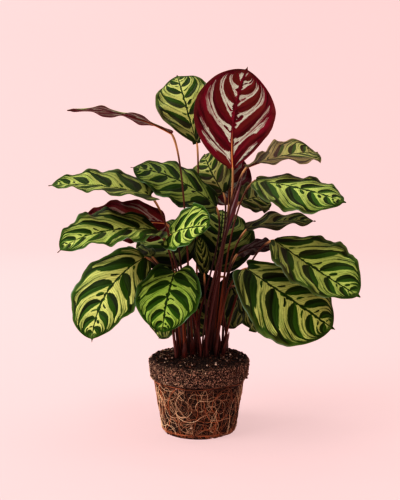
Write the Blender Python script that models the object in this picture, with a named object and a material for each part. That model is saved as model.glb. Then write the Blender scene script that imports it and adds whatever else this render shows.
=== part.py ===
"""Peacock plant standing on its bare root ball.

A clump of broad, patterned leaves rises from a root ball that has kept the
shape of the nursery pot it grew in. Each leaf is a blade and a stalk, each
stalk stands in a plain hole in the soil, and a cage of matted roots holds the
ball together. The origin is the centre of the root ball's flat underside, +Z
is up, and the side that faces -Y is the front.
"""

from dataclasses import dataclass

import bmesh
import bpy
import numpy as np

MM = 0.001

# Root ball, in millimetres: half-widths and heights of its turned outline
BASE_RADIUS = 47.5
FOOT_RADIUS = 49.0
FOOT_HEIGHT = 3.0
LEDGE_RADIUS = 59.6
LEDGE_HEIGHT = 70.0
COLLAR_LOW_RADIUS = 65.0
COLLAR_LOW_HEIGHT = 73.0
COLLAR_TOP_RADIUS = 67.6
COLLAR_TOP_HEIGHT = 94.5
SHOULDER_RADIUS = 63.5
SHOULDER_HEIGHT = 98.5
SOIL_HEIGHT = 99.0
SOIL_MOUND = 6.5
BALL_SIDES = 42
BALL_LUMP = 0.7
SOIL_LUMP = 1.1

# Root cage around the ball
ROOT_RADIUS = 0.8
ROOT_GAP = 0.3
CAGE_LOW_HEIGHT = 4.6
CAGE_TOP_HEIGHT = 67.8
CAGE_ROOTS = 12
CAGE_SIDES = 5
CAGE_RING_STEPS = 38
CAGE_SEED = 7

# Leaf blades
BLADE_ROWS = 16
BLADE_COLUMNS = 4
BLADE_THICKNESS = 0.9
RIB_THICKNESS = 0.9
BLADE_BASE_HALF = 1.6
BLADE_TIP_HALF = 0.7
TIP_CUSP = 0.13
LOBE_PEAK = 0.08

# Leaf stalks
STALK_STEPS = 9
STALK_SIDES = 5
STALK_RADIUS = 1.2
SHEATH_SWELL = 0.8
KNEE_SWELL = 0.5
STALK_GAP = 0.4
FOOT_DEPTH = 9.0
FOOT_COLLAR = 2.5
HOLE_CLEARANCE = 0.35
HOLE_SIDES = 8


@dataclass
class Leaf:
    """One leaf, in millimetres and degrees.

    foot is where its stalk stands on the soil, base and tip are the ends of
    its midrib, and face is the way its upper side looks at mid length.
    arch bows the midrib towards the upper side, sway bows it sideways, and
    hook turns the tip down. fold and curl bend each half across the midrib,
    wave and waves ruffle the margin, twist turns the tip against the base,
    lobe carries the base of the blade back past the stalk, and belly is the
    place of the widest line along the midrib. reach is how far below the
    base the stalk begins to bend, and bend leads its lower part aside.
    """

    name: str
    foot: tuple
    base: tuple
    tip: tuple
    face: tuple
    width: float
    arch: float = 10.0
    sway: float = 0.0
    hook: float = 0.0
    fold: float = 6.0
    curl: float = -12.0
    wave: float = 3.0
    waves: float = 4.0
    twist: float = 0.0
    lobe: float = 0.05
    belly: float = 0.48
    reach: float = 40.0
    bend: tuple = (0.0, 0.0)


LEAVES = (
    Leaf("01", (-8, -10), (-35, -10, 395), (-169, -20, 424), (0.15, 0.06, 1.0), 76,
         arch=11, fold=2, curl=-8, waves=3.0, belly=0.56, reach=30, bend=(-2, -26)),
    Leaf("02", (-2, 26), (-3, 70, 385), (-32, 122, 486), (-0.15, -0.80, 0.55), 84,
         arch=14, fold=4, curl=-14, belly=0.60, lobe=0.0, reach=30, bend=(-4, 14)),
    Leaf("03", (10, -10), (43, -30, 350), (60, -55, 474), (-0.05, 0.95, 0.30), 104,
         arch=6, sway=-7, fold=3, curl=-10, wave=2, belly=0.56, lobe=0.0, reach=60),
    Leaf("04", (16, 4), (63, 18, 352), (165, 62, 373), (0.0, -0.34, 0.94), 88,
         arch=5, fold=9, curl=-6, wave=4, waves=3.5, twist=-20, belly=0.70),
    Leaf("05", (22, -4), (74, 5, 335), (186, -45, 307), (0.05, -0.48, 0.87), 98,
         arch=4, fold=-4, curl=-10, lobe=0.06, belly=0.54),
    Leaf("06", (8, 22), (34, 62, 316), (8, 112, 372), (-0.50, -0.75, 0.45), 62),
    Leaf("07", (14, 30), (42, 82, 299), (44, 120, 379), (0.10, 0.90, 0.50), 65, arch=6),
    Leaf("08", (-16, 6), (-62, -12, 314), (-193, -30, 328), (0.0, -0.30, 0.95), 98,
         arch=7, fold=13, curl=-8, lobe=0.12, belly=0.38, bend=(-2, 8)),
    Leaf("09", (-6, 4), (24, 30, 298), (-92, 24, 352), (0.05, -0.50, 0.86), 95,
         arch=13, fold=2, curl=-14),
    Leaf("10", (-22, 12), (-44, 20, 277), (-170, 45, 268), (0.0, 0.72, 0.70), 86,
         arch=7, belly=0.41),
    Leaf("11", (-24, -14), (-54, -14, 270), (-174, -80, 254), (-0.10, -0.38, 0.92), 114,
         hook=8, fold=12, curl=-10, wave=4, belly=0.43, bend=(0, -8)),
    Leaf("12", (2, -23), (-36, -42, 266), (14, -106, 281), (-0.69, -0.44, 0.58), 69,
         arch=5, fold=11, curl=-8, wave=2, lobe=0.14, belly=0.50, reach=28, bend=(6, 4)),
    Leaf("13", (-30, -20), (-71, -10, 234), (-135, -65, 132), (-0.35, -0.75, 0.55), 104,
         sway=-14),
    Leaf("14", (-19, -24), (-31, -40, 218), (-45, -95, 148), (-0.10, -0.65, 0.75), 84,
         lobe=0.17, bend=(0, -4)),
    Leaf("15", (22, -14), (62, -15, 220), (171, -65, 148), (0.10, -0.78, 0.60), 122,
         sway=-6, fold=-3, curl=-16, lobe=0.12, belly=0.58),
    Leaf("16", (31, -6), (98, -12, 257), (200, -76, 191), (0.25, -0.60, 0.75), 116,
         arch=0, sway=-3, fold=18, twist=-14, lobe=0.0, belly=0.50),
    Leaf("17", (24, 4), (64, 30, 268), (161, 45, 278), (0.0, -0.35, 0.92), 48,
         arch=6, fold=16, curl=-20, wave=4, waves=2.5),
    Leaf("18", (20, 16), (56, 58, 304), (100, 94, 308), (0.10, -0.80, 0.60), 54, arch=6),
    Leaf("19", (31, 8), (50, 10, 236), (104, 35, 242), (0.10, 0.55, 0.80), 54,
         arch=6, wave=1.5),
    Leaf("20", (-4, 40), (-12, 87, 200), (-2, 120, 97), (0.0, -0.80, 0.50), 96, arch=8),
    Leaf("21", (-28, 4), (-64, 35, 230), (-138, 65, 218), (0.0, -0.30, 0.95), 72, arch=6),
    Leaf("22", (-28, 16), (-40, 45, 195), (-58, 78, 106), (-0.20, -0.60, 0.70), 74, arch=6),
    Leaf("23", (38, 18), (56, 35, 190), (86, 60, 123), (0.30, -0.60, 0.70), 74, arch=8),
    Leaf("24", (10, -24), (7, -18, 212), (0, -22, 264), (0.20, -0.95, 0.10), 20,
         arch=3, wave=1),
    Leaf("25", (-22, 30), (-52, 90, 198), (-112, 172, 170), (-0.20, 0.30, 0.92), 98),
    Leaf("26", (8, 34), (24, 84, 204), (36, 148, 290), (0.10, -0.75, 0.60), 104, arch=12),
    Leaf("27", (-14, 20), (-26, 64, 214), (-66, 120, 268), (-0.15, -0.75, 0.60), 96,
         arch=10),
    Leaf("28", (28, 26), (38, 78, 196), (66, 118, 121), (0.15, -0.75, 0.55), 92, arch=8),
)

# Young leaf, still rolled: the way it goes and its half-width along that way
SPEAR_FOOT = (4.0, -6.0)
SPEAR_LEAD = (8.0, -8.0, 190.0)
SPEAR_NECK = (36.0, -16.0, 262.0)
SPEAR_TIP = (58.0, -10.0, 344.0)
SPEAR_STEPS = 12
SPEAR_BELLY = 3.4
SPEAR_BELLY_PLACE = 0.78
SPEAR_BELLY_SPREAD = 0.11
SPEAR_END = 0.8

# Colour, roughness and metallic value of each material
FINISHES = {
    "leaf": ((0.12, 0.26, 0.05, 1.0), 0.38, 0.0),
    "stalk": ((0.17, 0.05, 0.03, 1.0), 0.45, 0.0),
    "young_leaf": ((0.14, 0.01, 0.04, 1.0), 0.40, 0.0),
    "soil": ((0.030, 0.018, 0.012, 1.0), 0.95, 0.0),
    "roots": ((0.40, 0.17, 0.07, 1.0), 0.80, 0.0),
}


def clear_scene():
    """Remove the objects that the file opened with."""
    for obj in list(bpy.data.objects):
        bpy.data.objects.remove(obj, do_unlink=True)


def make_material(name):
    """Make the Principled material called name from FINISHES."""
    colour, roughness, metallic = FINISHES[name]
    material = bpy.data.materials.new(name)
    material.use_nodes = True
    shader = material.node_tree.nodes["Principled BSDF"]
    shader.inputs["Base Color"].default_value = colour
    shader.inputs["Roughness"].default_value = roughness
    shader.inputs["Metallic"].default_value = metallic
    return material


def mesh_object(name, points, faces, material):
    """Make one object from points in millimetres and lists of corner numbers."""
    mesh = bpy.data.meshes.new(name)
    mesh.from_pydata((np.asarray(points) * MM).tolist(), [], faces)
    mesh.materials.append(material)
    mesh.shade_smooth()
    mesh.set_sharp_from_angle(angle=np.radians(40))
    mesh.update()
    obj = bpy.data.objects.new(name, mesh)
    bpy.context.scene.collection.objects.link(obj)
    return obj


def unit(vector):
    """Scale a vector, or each row of an array, to length one."""
    vector = np.asarray(vector, dtype=float)
    return vector / np.linalg.norm(vector, axis=-1, keepdims=True)


def blade_outline(along, belly):
    """Half-width of a blade, as a share of its widest, at places along it.

    A blunt sine whose crest lies at belly, with a short cusp at the tip.
    """
    power = np.log(0.5) / np.log(belly)
    body = np.sin(np.pi * np.clip(along / 0.97, 0, 1) ** power)
    cusp = TIP_CUSP * np.clip((1 - along) / 0.09, 0, 1) ** 1.2
    return np.maximum(np.clip(body, 0, 1) ** 0.58, cusp)


def midrib(leaf, along):
    """Points, directions, upper normals and side vectors along a midrib."""
    base = np.array(leaf.base, dtype=float)
    chord = np.array(leaf.tip, dtype=float) - base
    ahead = unit(chord)
    up = unit(np.array(leaf.face) - np.dot(leaf.face, ahead) * ahead)
    side = np.cross(up, ahead)
    place = np.asarray(along, dtype=float)[:, None]
    bow = 4 * place * (1 - place)
    bow_slope = 4 * (1 - 2 * place)
    droop = np.clip((place - 0.7) / 0.3, 0, 1)
    lift = leaf.arch * bow - leaf.hook * droop ** 2
    lift_slope = leaf.arch * bow_slope - leaf.hook * 2 * droop / 0.3
    rib = base + chord * place + up * lift + side * leaf.sway * bow
    tangent = unit(chord + up * lift_slope + side * leaf.sway * bow_slope)
    normal = unit(up - (tangent @ up)[:, None] * tangent)
    lateral = np.cross(normal, tangent)
    turn = np.radians(leaf.twist) * (place - 0.5)
    turned_normal = normal * np.cos(turn) + lateral * np.sin(turn)
    turned_lateral = lateral * np.cos(turn) - normal * np.sin(turn)
    return rib, tangent, turned_normal, turned_lateral, ahead, np.linalg.norm(chord)


def blade_faces(leaf, along, across):
    """Upper and lower points of a blade on a grid along and across it.

    Each half leaves the midrib at the fold angle and bends by the curl angle
    to its margin, where a sine wave ruffles it. The lower points lie below
    the upper ones, square to the bent section, with more depth at the midrib.
    """
    rib, _, normal, lateral, ahead, length = midrib(leaf, along)
    half = leaf.width / 2 * blade_outline(along, leaf.belly)
    end = BLADE_BASE_HALF + (BLADE_TIP_HALF - BLADE_BASE_HALF) * along
    half = np.sqrt(half ** 2 + end ** 2)[:, None]
    reach, sign = np.abs(across)[None, :], np.sign(across)[None, :]
    fold, curl = np.radians(leaf.fold), np.radians(leaf.curl)
    slope = fold + curl * reach
    sideways = half * sign * (np.sin(slope) - np.sin(fold)) / curl
    rise = half * (np.cos(fold) - np.cos(slope)) / curl
    calm_ends = np.sqrt(np.clip(np.sin(np.pi * along), 0, 1))[:, None]
    phase = 2 * np.pi * (leaf.waves * along[:, None] + 0.21 * sign)
    rise = rise + leaf.wave * calm_ends * reach ** 2.2 * np.sin(phase)
    early = along[:, None] / LOBE_PEAK
    setback = leaf.lobe * length * reach ** 1.5 * early * np.exp(1 - early)
    upper = rib[:, None] + lateral[:, None] * sideways[..., None]
    upper = upper + normal[:, None] * rise[..., None] - ahead * setback[..., None]
    square = (normal[:, None] * np.cos(slope)[..., None]
              - lateral[:, None] * (sign * np.sin(slope))[..., None])
    rib_depth = RIB_THICKNESS * np.exp(-(8 * reach) ** 2) * (1 - 0.6 * along[:, None])
    lower = upper - square * (BLADE_THICKNESS + rib_depth)[..., None]
    return upper, lower


def blade_rows():
    """Places of the rows along a blade, closer together at its two ends."""
    even = np.linspace(0, 1, BLADE_ROWS + 1)
    return 0.5 * even + 0.25 * (1 - np.cos(np.pi * even))


def make_blade(leaf, material):
    """Make a blade: two faces split alike into triangles, and a thin margin."""
    upper, lower = blade_faces(leaf, blade_rows(), np.linspace(-1, 1, BLADE_COLUMNS + 1))
    rows, columns = upper.shape[:2]
    count = rows * columns
    faces = []
    for row in range(rows - 1):
        for column in range(columns - 1):
            a = row * columns + column
            b, c, d = a + columns, a + columns + 1, a + 1
            faces += [(a, b, c), (a, c, d)]
            faces += [(count + a, count + c, count + b), (count + a, count + d, count + c)]
    margin = [row * columns for row in range(rows)]
    margin += [(rows - 1) * columns + column for column in range(1, columns)]
    margin += [row * columns + columns - 1 for row in range(rows - 2, -1, -1)]
    margin += list(range(columns - 2, 0, -1))
    for a, b in zip(margin, margin[1:] + margin[:1]):
        faces += [(b, a, count + a), (b, count + a, count + b)]
    points = np.concatenate([upper.reshape(-1, 3), lower.reshape(-1, 3)])
    return mesh_object(f"leaf_{leaf.name}_blade", points, faces, material)


def bezier(start, lead, follow, end, steps):
    """Points of one cubic curve."""
    q = np.linspace(0, 1, steps + 1)[:, None]
    corners = [np.asarray(corner, dtype=float) for corner in (start, lead, follow, end)]
    weights = ((1 - q) ** 3, 3 * (1 - q) ** 2 * q, 3 * (1 - q) * q ** 2, q ** 3)
    return sum(weight * corner for weight, corner in zip(weights, corners))


def sweep(path, radii, sides, end_direction, end_side):
    """Points and faces of a closed tube whose last ring is square to its end.

    The side vector is carried back from the end of the path to its start.
    """
    tangents = unit(np.gradient(path, axis=0))
    tangents[0] = (0, 0, 1)
    tangents[-1] = end_direction
    angles = np.arange(sides) * 2 * np.pi / sides
    rings = []
    side = np.asarray(end_side, dtype=float)
    for point, tangent, radius in zip(path[::-1], tangents[::-1], radii[::-1]):
        side = unit(side - tangent * (side @ tangent))
        third = np.cross(tangent, side)
        circle = np.cos(angles)[:, None] * side + np.sin(angles)[:, None] * third
        rings.append(point + radius * circle)
    points = np.concatenate(rings[::-1] + [path[:1], path[-1:]])
    last = len(path) - 1
    first_hub = len(path) * sides
    faces = []
    for ring in range(last):
        for i in range(sides):
            a, b = ring * sides + i, ring * sides + (i + 1) % sides
            faces += [(a, b, b + sides), (a, b + sides, a + sides)]
    for i in range(sides):
        j = (i + 1) % sides
        faces.append((first_hub, j, i))
        faces.append((first_hub + 1, last * sides + i, last * sides + j))
    return points, faces


def soil_top(foot):
    """Height of the soil's mound at one foot, leaving out its lumps."""
    return SOIL_HEIGHT + SOIL_MOUND * (1 - np.hypot(*foot) / SHOULDER_RADIUS)


def stalk_path(leaf):
    """Way of a stalk: upright out of its hole, then one curve to the blade."""
    rib, tangent, normal, _, _, _ = midrib(leaf, np.array([0.0]))
    depth = (BLADE_THICKNESS + RIB_THICKNESS) / 2
    end = rib[0] - tangent[0] * STALK_GAP - normal[0] * depth
    heading = unit(0.65 * tangent[0] + 0.45 * np.array([0, 0, 1.0]))
    start = np.array([*leaf.foot, soil_top(leaf.foot) + FOOT_COLLAR])
    steer = unit(np.array([0, 0, 1.0]) + 0.8 * unit(end - start))
    lead = start + steer * (end[2] - start[2]) * 0.36 + np.array([*leaf.bend, 0.0])
    curve = bezier(start, lead, end - heading * leaf.reach, end, STALK_STEPS)
    foot = np.array([*leaf.foot, SOIL_HEIGHT - FOOT_DEPTH])
    return np.concatenate([foot[None], curve])


def stalk_radii():
    """Half-widths along a stalk: a sheath below, a knee just under the blade."""
    q = np.linspace(0, 1, STALK_STEPS + 1)
    sheath = SHEATH_SWELL * np.clip(1 - q / 0.55, 0, 1) ** 1.3
    knee = KNEE_SWELL * np.exp(-((q - 0.93) / 0.09) ** 2)
    radii = STALK_RADIUS + sheath + knee
    return np.concatenate([radii[:1], radii])


def make_stalk(leaf, material):
    """Make the stalk of one leaf."""
    _, tangent, _, lateral, _, _ = midrib(leaf, np.array([0.0]))
    points, faces = sweep(stalk_path(leaf), stalk_radii(), STALK_SIDES,
                          tangent[0], lateral[0])
    return mesh_object(f"leaf_{leaf.name}_stalk", points, faces, material)


def make_spear(material):
    """Make the young leaf, rolled up round its own stalk."""
    start = np.array([*SPEAR_FOOT, soil_top(SPEAR_FOOT) + FOOT_COLLAR])
    curve = bezier(start, SPEAR_LEAD, SPEAR_NECK, SPEAR_TIP, SPEAR_STEPS)
    foot = np.array([*SPEAR_FOOT, SOIL_HEIGHT - FOOT_DEPTH])
    path = np.concatenate([foot[None], curve])
    q = np.linspace(0, 1, SPEAR_STEPS + 1)
    roll = SPEAR_BELLY * np.exp(-((q - SPEAR_BELLY_PLACE) / SPEAR_BELLY_SPREAD) ** 2)
    radii = SPEAR_END + (STALK_RADIUS - SPEAR_END) * np.clip(4 * (1 - q), 0, 1) + roll
    ahead = unit(path[-1] - path[-2])
    points, faces = sweep(path, np.concatenate([radii[:1], radii]), STALK_SIDES,
                          ahead, (1.0, 0.0, 0.0))
    return mesh_object("young_leaf_roll", points, faces, material)


def ball_outline():
    """Half-widths and heights of the root ball, from its base to its shoulder."""
    return np.array([
        (BASE_RADIUS, 0.0),
        (FOOT_RADIUS, FOOT_HEIGHT),
        (LEDGE_RADIUS, LEDGE_HEIGHT),
        (COLLAR_LOW_RADIUS, COLLAR_LOW_HEIGHT),
        (COLLAR_TOP_RADIUS, COLLAR_TOP_HEIGHT),
        (SHOULDER_RADIUS, SHOULDER_HEIGHT),
    ])


def ball_reach(heights):
    """Largest half-width of the root ball at some heights."""
    outline = ball_outline()
    return np.interp(heights, outline[:, 1], outline[:, 0])


def lumps(angle, height, wave_count):
    """A lumpy pattern between 0 and 1 over an angle and a height."""
    mix = (np.sin(wave_count * angle + 0.11 * height)
           + np.sin((wave_count + 4) * angle - 0.17 * height + 1.3)
           + np.sin(3 * angle + 0.07 * height + 0.5))
    return 0.5 + mix / 6


def ball_rings():
    """Rings of the ball from its base up its side and in over the soil.

    The side is drawn in by lumps, so it never passes its turned outline. The
    soil is a low mound with lumps of its own.
    """
    outline = ball_outline()
    stretches = ((0, 1, 1), (1, 2, 4), (2, 3, 1), (3, 4, 2), (4, 5, 1))
    side = [outline[0]]
    for low, high, steps in stretches:
        for step in range(1, steps + 1):
            side.append(outline[low] + (outline[high] - outline[low]) * step / steps)
    angle = np.arange(BALL_SIDES) * 2 * np.pi / BALL_SIDES
    rings = []
    for radius, height in side:
        draw_in = BALL_LUMP * lumps(angle, height, 5) * (height > 0)
        r = radius - draw_in
        rings.append(np.stack([r * np.cos(angle), r * np.sin(angle),
                               np.full(BALL_SIDES, height)], axis=1))
    for share in (0.78, 0.52, 0.26):
        r = SHOULDER_RADIUS * share
        height = SOIL_HEIGHT + SOIL_MOUND * (1 - share) + SOIL_LUMP * (
            lumps(angle, 90 * share, 6) - 0.5)
        rings.append(np.stack([r * np.cos(angle), r * np.sin(angle), height], axis=1))
    return np.array(rings)


def make_ball_body(material):
    """Make the closed root ball, before its holes."""
    rings = ball_rings()
    count = len(rings)
    points = np.concatenate([rings.reshape(-1, 3),
                             [[0, 0, SOIL_HEIGHT + SOIL_MOUND]]])
    faces = []
    for ring in range(count - 1):
        for i in range(BALL_SIDES):
            a = ring * BALL_SIDES + i
            b = ring * BALL_SIDES + (i + 1) % BALL_SIDES
            faces += [(a, b, b + BALL_SIDES), (a, b + BALL_SIDES, a + BALL_SIDES)]
    top = count * BALL_SIDES
    last = (count - 1) * BALL_SIDES
    for i in range(BALL_SIDES):
        faces.append((top, last + i, last + (i + 1) % BALL_SIDES))
    faces.append(tuple(range(BALL_SIDES - 1, -1, -1)))
    return mesh_object("root_ball", points, faces, material)


def make_hole_cutter(feet):
    """Make one cutter with a round plug at each foot."""
    flat_reach = STALK_RADIUS + SHEATH_SWELL + HOLE_CLEARANCE
    radius = flat_reach / np.cos(np.pi / HOLE_SIDES) * MM
    depth = (FOOT_DEPTH + HOLE_CLEARANCE) * MM
    height = depth + 20 * MM
    cutter_mesh = bpy.data.meshes.new("stalk_holes")
    form = bmesh.new()
    for x, y in feet:
        made = bmesh.ops.create_cone(form, cap_ends=True, segments=HOLE_SIDES,
                                     radius1=radius, radius2=radius, depth=height)
        middle = (x * MM, y * MM, SOIL_HEIGHT * MM - depth + height / 2)
        bmesh.ops.translate(form, verts=made["verts"], vec=middle)
    form.to_mesh(cutter_mesh)
    form.free()
    cutter = bpy.data.objects.new("stalk_holes", cutter_mesh)
    bpy.context.scene.collection.objects.link(cutter)
    return cutter


def apply_modifier(obj, modifier):
    """Apply one modifier of an object and keep its name."""
    with bpy.context.temp_override(object=obj, active_object=obj):
        bpy.ops.object.modifier_apply(modifier=modifier.name)


def make_root_ball(material):
    """Make the soil ball with a plain hole for each stalk."""
    ball = make_ball_body(material)
    feet = [leaf.foot for leaf in LEAVES] + [SPEAR_FOOT]
    cutter = make_hole_cutter(feet)
    cut = ball.modifiers.new("stalk_holes", "BOOLEAN")
    cut.operation = "DIFFERENCE"
    cut.object = cutter
    apply_modifier(ball, cut)
    bpy.data.objects.remove(cutter, do_unlink=True)
    return ball


def root_tube(angles, heights, closed):
    """Points and faces of a root that follows the ball's side.

    Its centre lies its own radius and the gap outside the ball's reach.
    """
    reach = ball_reach(heights) + ROOT_GAP + ROOT_RADIUS
    path = np.stack([reach * np.cos(angles), reach * np.sin(angles), heights], axis=1)
    outward = np.stack([np.cos(angles), np.sin(angles), np.zeros_like(angles)], axis=1)
    if closed:
        tangents = unit(np.roll(path, -1, axis=0) - np.roll(path, 1, axis=0))
    else:
        tangents = unit(np.gradient(path, axis=0))
    outward = unit(outward - tangents * np.sum(outward * tangents, axis=1)[:, None])
    third = np.cross(tangents, outward)
    turn = np.arange(CAGE_SIDES) * 2 * np.pi / CAGE_SIDES
    ring = (np.cos(turn)[None, :, None] * outward[:, None]
            + np.sin(turn)[None, :, None] * third[:, None])
    points = (path[:, None] + ROOT_RADIUS * ring).reshape(-1, 3)
    count = len(path)
    faces = []
    for step in range(count if closed else count - 1):
        for i in range(CAGE_SIDES):
            j = (i + 1) % CAGE_SIDES
            after = ((step + 1) % count) * CAGE_SIDES
            here = step * CAGE_SIDES
            faces.append((here + i, here + j, after + j, after + i))
    if not closed:
        faces.append(tuple(range(CAGE_SIDES - 1, -1, -1)))
        faces.append(tuple(range((count - 1) * CAGE_SIDES, count * CAGE_SIDES)))
    return points, faces


def cage_roots():
    """Angles and heights of each root of the cage, rings first."""
    around = np.arange(CAGE_RING_STEPS) * 2 * np.pi / CAGE_RING_STEPS
    low = CAGE_LOW_HEIGHT + 0.9 * np.sin(3 * around + 0.4)
    top = CAGE_TOP_HEIGHT + 0.8 * np.sin(4 * around)
    roots = [(around, low, True), (around, top, True)]
    draw = np.random.default_rng(CAGE_SEED)
    rise = np.linspace(0, 1, 7)
    for number in range(CAGE_ROOTS):
        start = 2 * np.pi * (number + draw.uniform(-0.2, 0.2)) / CAGE_ROOTS
        lean = draw.uniform(0.35, 0.75) * (1 if number % 2 else -1)
        wander = draw.uniform(0.05, 0.12) * np.sin(np.pi * rise * draw.integers(2, 4))
        heights = CAGE_LOW_HEIGHT + (CAGE_TOP_HEIGHT - CAGE_LOW_HEIGHT) * rise
        roots.append((start + lean * rise + wander, heights, False))
    return roots


def make_root_cage(material):
    """Make the cage of matted roots: two rings and leaning roots, fused."""
    collection = bpy.data.collections.new("cage_roots")
    bpy.context.scene.collection.children.link(collection)
    pieces = []
    for number, (angles, heights, closed) in enumerate(cage_roots()):
        points, faces = root_tube(angles, heights, closed)
        piece = mesh_object(f"cage_root_{number}", points, faces, material)
        bpy.context.scene.collection.objects.unlink(piece)
        pieces.append(piece)
    cage = pieces[0]
    cage.name = "root_cage"
    bpy.context.scene.collection.objects.link(cage)
    for piece in pieces[1:]:
        collection.objects.link(piece)
    join = cage.modifiers.new("fuse", "BOOLEAN")
    join.operation = "UNION"
    join.operand_type = "COLLECTION"
    join.collection = collection
    apply_modifier(cage, join)
    for piece in pieces[1:]:
        bpy.data.objects.remove(piece, do_unlink=True)
    bpy.data.collections.remove(collection)
    return cage


def main():
    """Build the plant from the root ball up."""
    clear_scene()
    materials = {name: make_material(name) for name in FINISHES}
    make_root_ball(materials["soil"])
    make_root_cage(materials["roots"])
    for leaf in LEAVES:
        make_stalk(leaf, materials["stalk"])
        make_blade(leaf, materials["leaf"])
    make_spear(materials["young_leaf"])


main()
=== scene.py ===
"""Looks of a peacock plant that stands on its bare root ball.

Every surface is worked out with numpy in millimetres, in the frame of the CAD
model: the origin is the centre of the root ball's underside, +Z is up and the
side that faces -Y is the front. Blades carry a UV map of the places along and
across them, which the leaf pattern reads.
"""

from __future__ import annotations

import logging
import math
from collections.abc import Iterable
from dataclasses import dataclass
from enum import Enum

import bpy
import numpy as np
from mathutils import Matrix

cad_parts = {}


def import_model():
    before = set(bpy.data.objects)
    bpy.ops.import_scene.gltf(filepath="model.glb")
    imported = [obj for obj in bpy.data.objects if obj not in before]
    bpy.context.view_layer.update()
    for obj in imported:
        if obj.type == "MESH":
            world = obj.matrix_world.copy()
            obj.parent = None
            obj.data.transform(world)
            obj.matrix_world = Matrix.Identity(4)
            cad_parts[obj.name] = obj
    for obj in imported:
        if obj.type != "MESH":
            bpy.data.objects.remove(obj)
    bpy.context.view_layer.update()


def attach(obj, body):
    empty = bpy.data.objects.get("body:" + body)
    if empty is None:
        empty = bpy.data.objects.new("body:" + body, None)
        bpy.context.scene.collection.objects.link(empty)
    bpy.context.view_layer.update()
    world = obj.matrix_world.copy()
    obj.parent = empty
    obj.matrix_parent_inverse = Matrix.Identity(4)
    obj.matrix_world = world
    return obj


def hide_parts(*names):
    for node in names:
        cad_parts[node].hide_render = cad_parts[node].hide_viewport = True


# A millimetre in metres, a full turn for random draws, and the way up.
MM = 0.001
ALL_ROUND = 6.28
UP = np.array([0.0, 0.0, 1.0])

Array = np.ndarray
Object = bpy.types.Object
Material = bpy.types.Material
Tree = bpy.types.NodeTree
Node = bpy.types.Node
Socket = bpy.types.NodeSocket
Colour = tuple[float, float, float]
Place = tuple[float, float, float]
Pair = tuple[float, float]

LOG = logging.getLogger("peacock_plant")


class Slot(Enum):
    """Material slots of the record."""

    LEAF = "leaf"
    STALK = "stalk"
    YOUNG_LEAF = "young_leaf"
    SOIL = "soil"
    ROOTS = "roots"


# --------------------------------------------------------------- numpy tools


def unit(vectors: Array) -> Array:
    """The vectors along the last axis, divided by their lengths."""
    vectors = np.asarray(vectors, dtype=float)
    return vectors / np.maximum(np.linalg.norm(vectors, axis=-1, keepdims=True), 1e-12)


def ease(values: Array, low: float, high: float) -> Array:
    """Rise smoothly from 0 to 1 between two values: 3x^2 - 2x^3."""
    x = np.clip((np.asarray(values, dtype=float) - low) / (high - low), 0, 1)
    return x * x * (3 - 2 * x)


def revolve(out: Array | float, angle: Array, height: Array | float) -> Array:
    """Points by their distance from the Z axis, angle round it and height."""
    values = np.broadcast_arrays(out * np.cos(angle), out * np.sin(angle), height)
    return np.stack(values, axis=-1)


def lattice_noise(points: Array, cell: float, seed: int) -> Array:
    """Smooth noise between -1 and 1.

    Each corner of a lattice of the given cell gets a hashed value, and a point
    blends the eight corners round it with eased weights.

    Args:
        points: Array of 3-D points.
        cell: Edge of a lattice cell, in the points' unit.
        seed: Picks another set of corner values.

    Returns:
        One value for each point.
    """
    place = np.asarray(points, dtype=float) / cell + 1000.37
    corner = np.floor(place).astype(np.int64)
    part = place - corner
    part = part * part * (3 - 2 * part)
    offsets = np.array([(i, j, k) for i in (0, 1) for j in (0, 1) for k in (0, 1)])
    corners = corner[..., None, :] + offsets
    key = corners @ np.array([73856093, 19349663, 83492791]) + seed * 2654435
    key = (key ^ (key >> 13)) * 1274126177 & 0x7FFFFFFF
    key = (key ^ (key >> 16)) * 668265263 & 0x7FFFFFFF
    values = (key % 65536) / 32767.5 - 1
    weights = np.where(offsets == 1, part[..., None, :], 1 - part[..., None, :])
    return np.sum(values * weights.prod(axis=-1), axis=-1)


def bezier(corners: Array, places: Array) -> Array:
    """Points of a cubic curve.

    Args:
        corners: Its four control points.
        places: Places along it, from 0 to 1.

    Returns:
        One point for each place.
    """
    q = np.asarray(places, dtype=float)[:, None]
    weights = ((1 - q) ** 3, 3 * (1 - q) ** 2 * q, 3 * (1 - q) * q ** 2, q ** 3)
    return sum(weight * corner for weight, corner in zip(weights, np.asarray(corners)))


def grid_quads(rows: int, columns: int, start: int = 0, turned: bool = False) -> Array:
    """Corner numbers of the quads of a grid whose points run row by row.

    Args:
        rows: Number of rows of points.
        columns: Number of points in a row.
        start: Number of the first point.
        turned: Whether the faces look the other way.

    Returns:
        Array of quads.
    """
    corner = start + np.arange((rows - 1) * columns).reshape(rows - 1, columns)[:, :-1]
    quads = np.stack([corner, corner + columns, corner + columns + 1, corner + 1], axis=-1)
    quads = quads.reshape(-1, 4)
    return quads[:, ::-1] if turned else quads


def sheet_faces(rows: int, columns: int) -> tuple[Array, Array]:
    """Faces of a thin closed sheet: an upper grid, a lower grid and the rim.

    Args:
        rows: Rows of points in each grid.
        columns: Points in a row.

    Returns:
        The quads, and for each whether it is 0 upper, 1 lower or 2 rim.
    """
    count = rows * columns
    upper = grid_quads(rows, columns)
    lower = grid_quads(rows, columns, start=count, turned=True)
    number = np.arange(count).reshape(rows, columns)
    loop = np.concatenate([number[:, 0], number[-1, 1:], number[-2::-1, -1],
                           number[0, -2:0:-1]])
    ahead = np.roll(loop, -1)
    rim = np.stack([ahead, loop, loop + count, ahead + count], axis=-1)
    kinds = np.repeat([0, 1, 2], [len(upper), len(lower), len(rim)])
    return np.concatenate([upper, lower, rim]), kinds


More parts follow.
